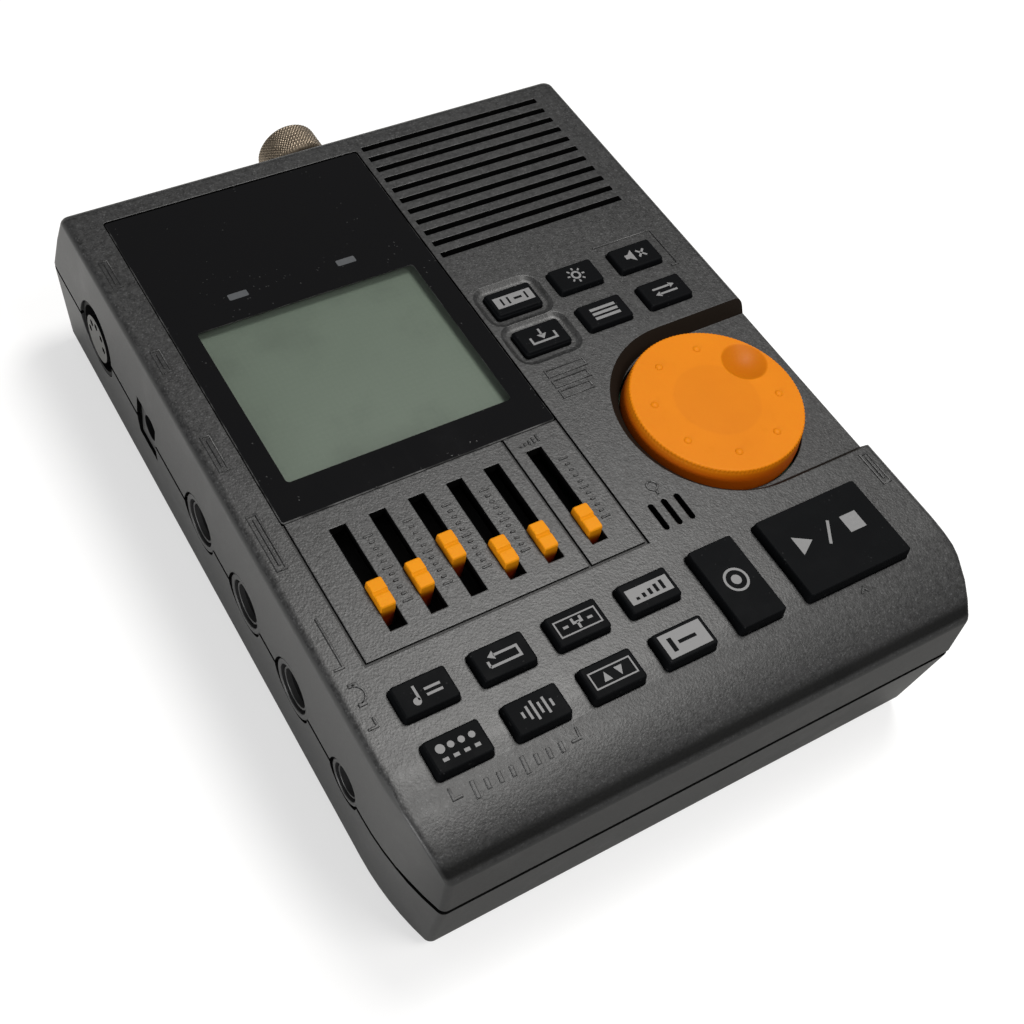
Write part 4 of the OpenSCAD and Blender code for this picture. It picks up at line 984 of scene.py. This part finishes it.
def phone_jack(shape, dark_skin, x, y, side, collar, bore, depth):
    """Two pale rings with a black groove between them, round a black bore."""
    turn = along_x(x, y, SEAM, side)
    inside, groove, lip = collar * 0.78, collar * 0.68, collar * 0.6
    rim = collar - 0.2
    shape.lathe([(inside, -1.7), (inside, -0.12), (inside + 0.12, 0.0), (rim - 0.2, 0.0), (rim, -0.2),
                 (rim, -4.0), (inside + 0.4, -4.0), (inside, -1.7)], 64, turn)
    shape.lathe([(lip, -1.7), (lip + 0.05, -0.6), (lip + 0.15, -0.5), (groove - 0.1, -0.5), (groove, -0.6),
                 (groove, -1.7), (lip, -1.7)], 64, turn)
    dark_skin.lathe([(bore, -depth), (bore, -4.6), (bore + 0.2, -3.2), (lip, -1.6), (inside + 0.1, -1.6),
                  (inside + 0.1, -4.4), (bore + 0.9, -4.8), (bore + 0.9, -depth - 0.6), (0.0, -depth - 0.6),
                  (0.0, -depth), (bore, -depth)], 64, turn)


def sockets():
    for node, ys, side, collar, bore, depth, ring in (
            ("phone_jacks", (5.9, -15.2, -35.8), -1, 6.6, 3.25, 28.0, -8.0),
            ("input_jacks", (-29.0, -51.2), 1, 6.6, 3.25, 28.0, -8.0),
            ("mini_jack", (-56.8,), -1, 5.0, 1.8, 14.0, -6.0)):
        collars, linings, sleeves = Shape(), Shape(), Shape()
        for y in ys:
            face = side * (SIDE - 0.4)
            phone_jack(collars, linings, face, y, side, collar, bore, depth)
            sleeves.lathe([(bore - 0.01, ring - 5), (bore - 0.01, ring), (bore - 0.2, ring + 0.1),
                           (bore - 0.3, ring - 0.1), (bore - 0.3, ring - 4.9), (bore - 0.01, ring - 5)], 48,
                          along_x(face, y, SEAM, side))
        name = node.replace("jacks", "socket").replace("jack", "socket")
        collars.make(name + "_collar", COLLAR, "case", "socket", (node,), 35.0)
        linings.make(name + "_lining", SOCKET, "case", "socket", (), 35.0)
        sleeves.make(name + "_sleeve", NICKEL, "case", "nickel", (), 35.0)


def inset_socket(node, name, front):
    """A socket cut from its solid: black throughout, apart from the face at the front."""
    thing = from_solid(node, name, SOCKET, "case", 35.0, 0.1)
    thing.data.materials.append(front)
    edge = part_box(node)[0].x + 0.0002
    for face in thing.data.polygons:
        if face.center.x < edge:
            face.material_index = 1


sockets()
inset_socket("sync_socket", "round_socket", FACE)
inset_socket("dc_inlet", "power_inlet", COLLAR)


# Thumb screw

KNOB_LENGTH = 9.0


def thumb_screw():
    """Turned knob with a diamond knurl, on a plain shank."""
    low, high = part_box("thumb_screw")
    x, z = 0.0, (low.z + high.z) / 2 / MM
    start, end = low.y / MM - MID_Y, high.y / MM - MID_Y
    knob, radius = end - KNOB_LENGTH, (high.x - low.x) / MM / 2
    steps, teeth, rows = 300, 60, 76
    pitch, knurl_depth = 1.05, 0.19

    def place(p):
        return (x + p[0], p[2], z - p[1])

    def ring(r, y):
        return [place((r * math.cos(math.tau * i / steps), r * math.sin(math.tau * i / steps), y))
                for i in range(steps)]

    skin = [ring(0.4, start), ring(2.7, start), ring(2.95, start + 0.25), ring(2.95, knob - 0.3),
            ring(3.6, knob - 0.2), ring(6.6, knob), ring(radius - 0.5, knob + 0.35)]
    first, last = knob + 0.7, end - 1.0
    for k in range(rows + 1):
        y = first + (last - first) * k / rows
        points = []
        for i in range(steps):
            t = math.tau * i / steps
            twist = (y - first) * pitch
            a = abs(((t * teeth / math.tau + twist) % 1.0) - 0.5) * 2
            b = abs(((t * teeth / math.tau - twist) % 1.0) - 0.5) * 2
            r = radius - knurl_depth * max(0.0, 1.0 - 1.7 * min(a, b))
            points.append(place((r * math.cos(t), r * math.sin(t), y)))
        skin.append(points)
    skin += [ring(radius - 0.45, end - 0.55), ring(radius - 0.95, end - 0.1), ring(radius - 1.3, end),
             ring(radius - 2.3, end), ring(radius - 2.7, end - 0.3), ring(radius - 3.2, end - 0.45),
             ring(0.4, end - 0.45)]
    screw = Shape()
    screw.rings(skin)
    screw.make("thumb_knob", NICKEL, "thumb_screw", "nickel", ("thumb_screw",), 45.0)


thumb_screw()


# Pieces inside

INSIDE = {
    "lcd_holder": WHITE, "beat_lamps": LAMP, "dial_shaft": STEEL, "dial_encoder": DARK,
    "fader_bodies": DARK, "key_switches": DARK, "main_board": BOARD, "socket_board": BOARD,
    "speaker_frame": DARK, "speaker_cone": PAPER, "speaker_magnet": ALLOY, "microphone": FOOT,
    "clamp_shoe": BRASS, "clamp_block": ALLOY, "battery": CELL, "battery_clip": DARK, "board_screws": STEEL,
}
for number in range(1, 7):
    INSIDE[f"fader_lever_{number}"] = DARK
for name, material in INSIDE.items():
    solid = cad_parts[name]
    solid.data.materials.clear()
    solid.data.materials.append(material)


# Stage, light and camera

def stage():
    mesh = bpy.data.meshes.new("floor")
    half = 4.0
    corners = [(-half, -half, 0), (half, -half, 0), (half, half, 0), (-half, half, 0)]
    mesh.from_pydata(corners, [], [(0, 1, 2, 3)])
    floor = bpy.data.objects.new("floor", mesh)
    bpy.context.scene.collection.objects.link(floor)
    f = Finish("floor_white")
    shade = f.noise(3.0, 2.0)
    seen = f.node("ShaderNodeLightPath", out="Is Camera Ray")
    pale = f.mix(shade, (0.41, 0.41, 0.41), (0.43, 0.43, 0.43))
    in_front = f.step(f.axis(1), -0.075, -0.1)
    bounce = f.mix(in_front, (0.72, 0.72, 0.71), (0.28, 0.28, 0.275))
    away = f.node("ShaderNodeVectorMath", {"operation": "LENGTH"}, {0: f.place}, "Value")
    glow = f.mix(f.step(away, 0.3, 1.3), (0.55, 0.55, 0.55), (0.9, 0.9, 0.9))
    mesh.materials.append(f.body(base_color=f.mix(seen, bounce, pale),
                                 emission_color=f.mix(seen, (0.0, 0.0, 0.0), glow), emission_strength=1.0,
                                 roughness=(0.75 + 0.1 * shade).clamped(), specular=0.1))


def lamp(name, place, aim, size, watts, colour=(1.0, 1.0, 1.0)):
    light = bpy.data.lights.new(name, "AREA")
    light.shape = "RECTANGLE"
    light.size, light.size_y = size
    light.energy = watts
    light.color = colour
    thing = bpy.data.objects.new(name, light)
    bpy.context.scene.collection.objects.link(thing)
    thing.location = place
    thing.rotation_euler = (Vector(aim) - Vector(place)).to_track_quat("-Z", "Y").to_euler()


def studio():
    world = bpy.data.worlds.new("studio")
    bpy.context.scene.world = world
    world.use_nodes = True
    tree = world.node_tree
    path = tree.nodes.new("ShaderNodeLightPath")
    seen = Value(tree, path.outputs["Is Camera Ray"])
    mirrored = Value(tree, path.outputs["Is Glossy Ray"])
    strength = seen + (1.0 - seen) * (0.34 - 0.24 * mirrored)
    ground = tree.nodes["Background"]
    ground.inputs["Color"].default_value = (1.0, 1.0, 1.0, 1.0)
    feed(tree, ground.inputs["Strength"], strength)
    lamp("key_light", (0.18, 0.07, 0.66), (0.0, -0.04, 0.04), (0.2, 0.3), 3.5, (1.0, 0.985, 0.96))
    lamp("front_light", (0.14, -0.33, 0.6), (-0.02, -0.07, 0.04), (0.22, 0.24), 1.9, (1.0, 0.985, 0.96))
    lamp("side_light", (-0.8, -0.3, 0.2), (-0.06, 0.02, 0.03), (0.5, 0.3), 4.4)


def camera():
    forward = Vector((0.35937, 0.46260, -0.81046))
    right = Vector((0.86741, -0.48589, 0.10729))
    up = Vector((0.34416, 0.74156, 0.57588))
    data = bpy.data.cameras.new("camera")
    data.sensor_width, data.lens = 36.0, 49.18
    data.shift_x, data.shift_y = 0.0960, -0.0022
    data.clip_start, data.clip_end = 0.01, 20.0
    view = bpy.data.objects.new("camera", data)
    bpy.context.scene.collection.objects.link(view)
    turn = Matrix((right, up, -forward)).transposed().to_4x4()
    view.matrix_world = Matrix.Translation(spot(-126.24, -143.03, 258.58)) @ turn
    bpy.context.scene.camera = view


stage()
studio()
camera()
bpy.context.scene.view_settings.view_transform = "Standard"

bpy.context.view_layer.update()
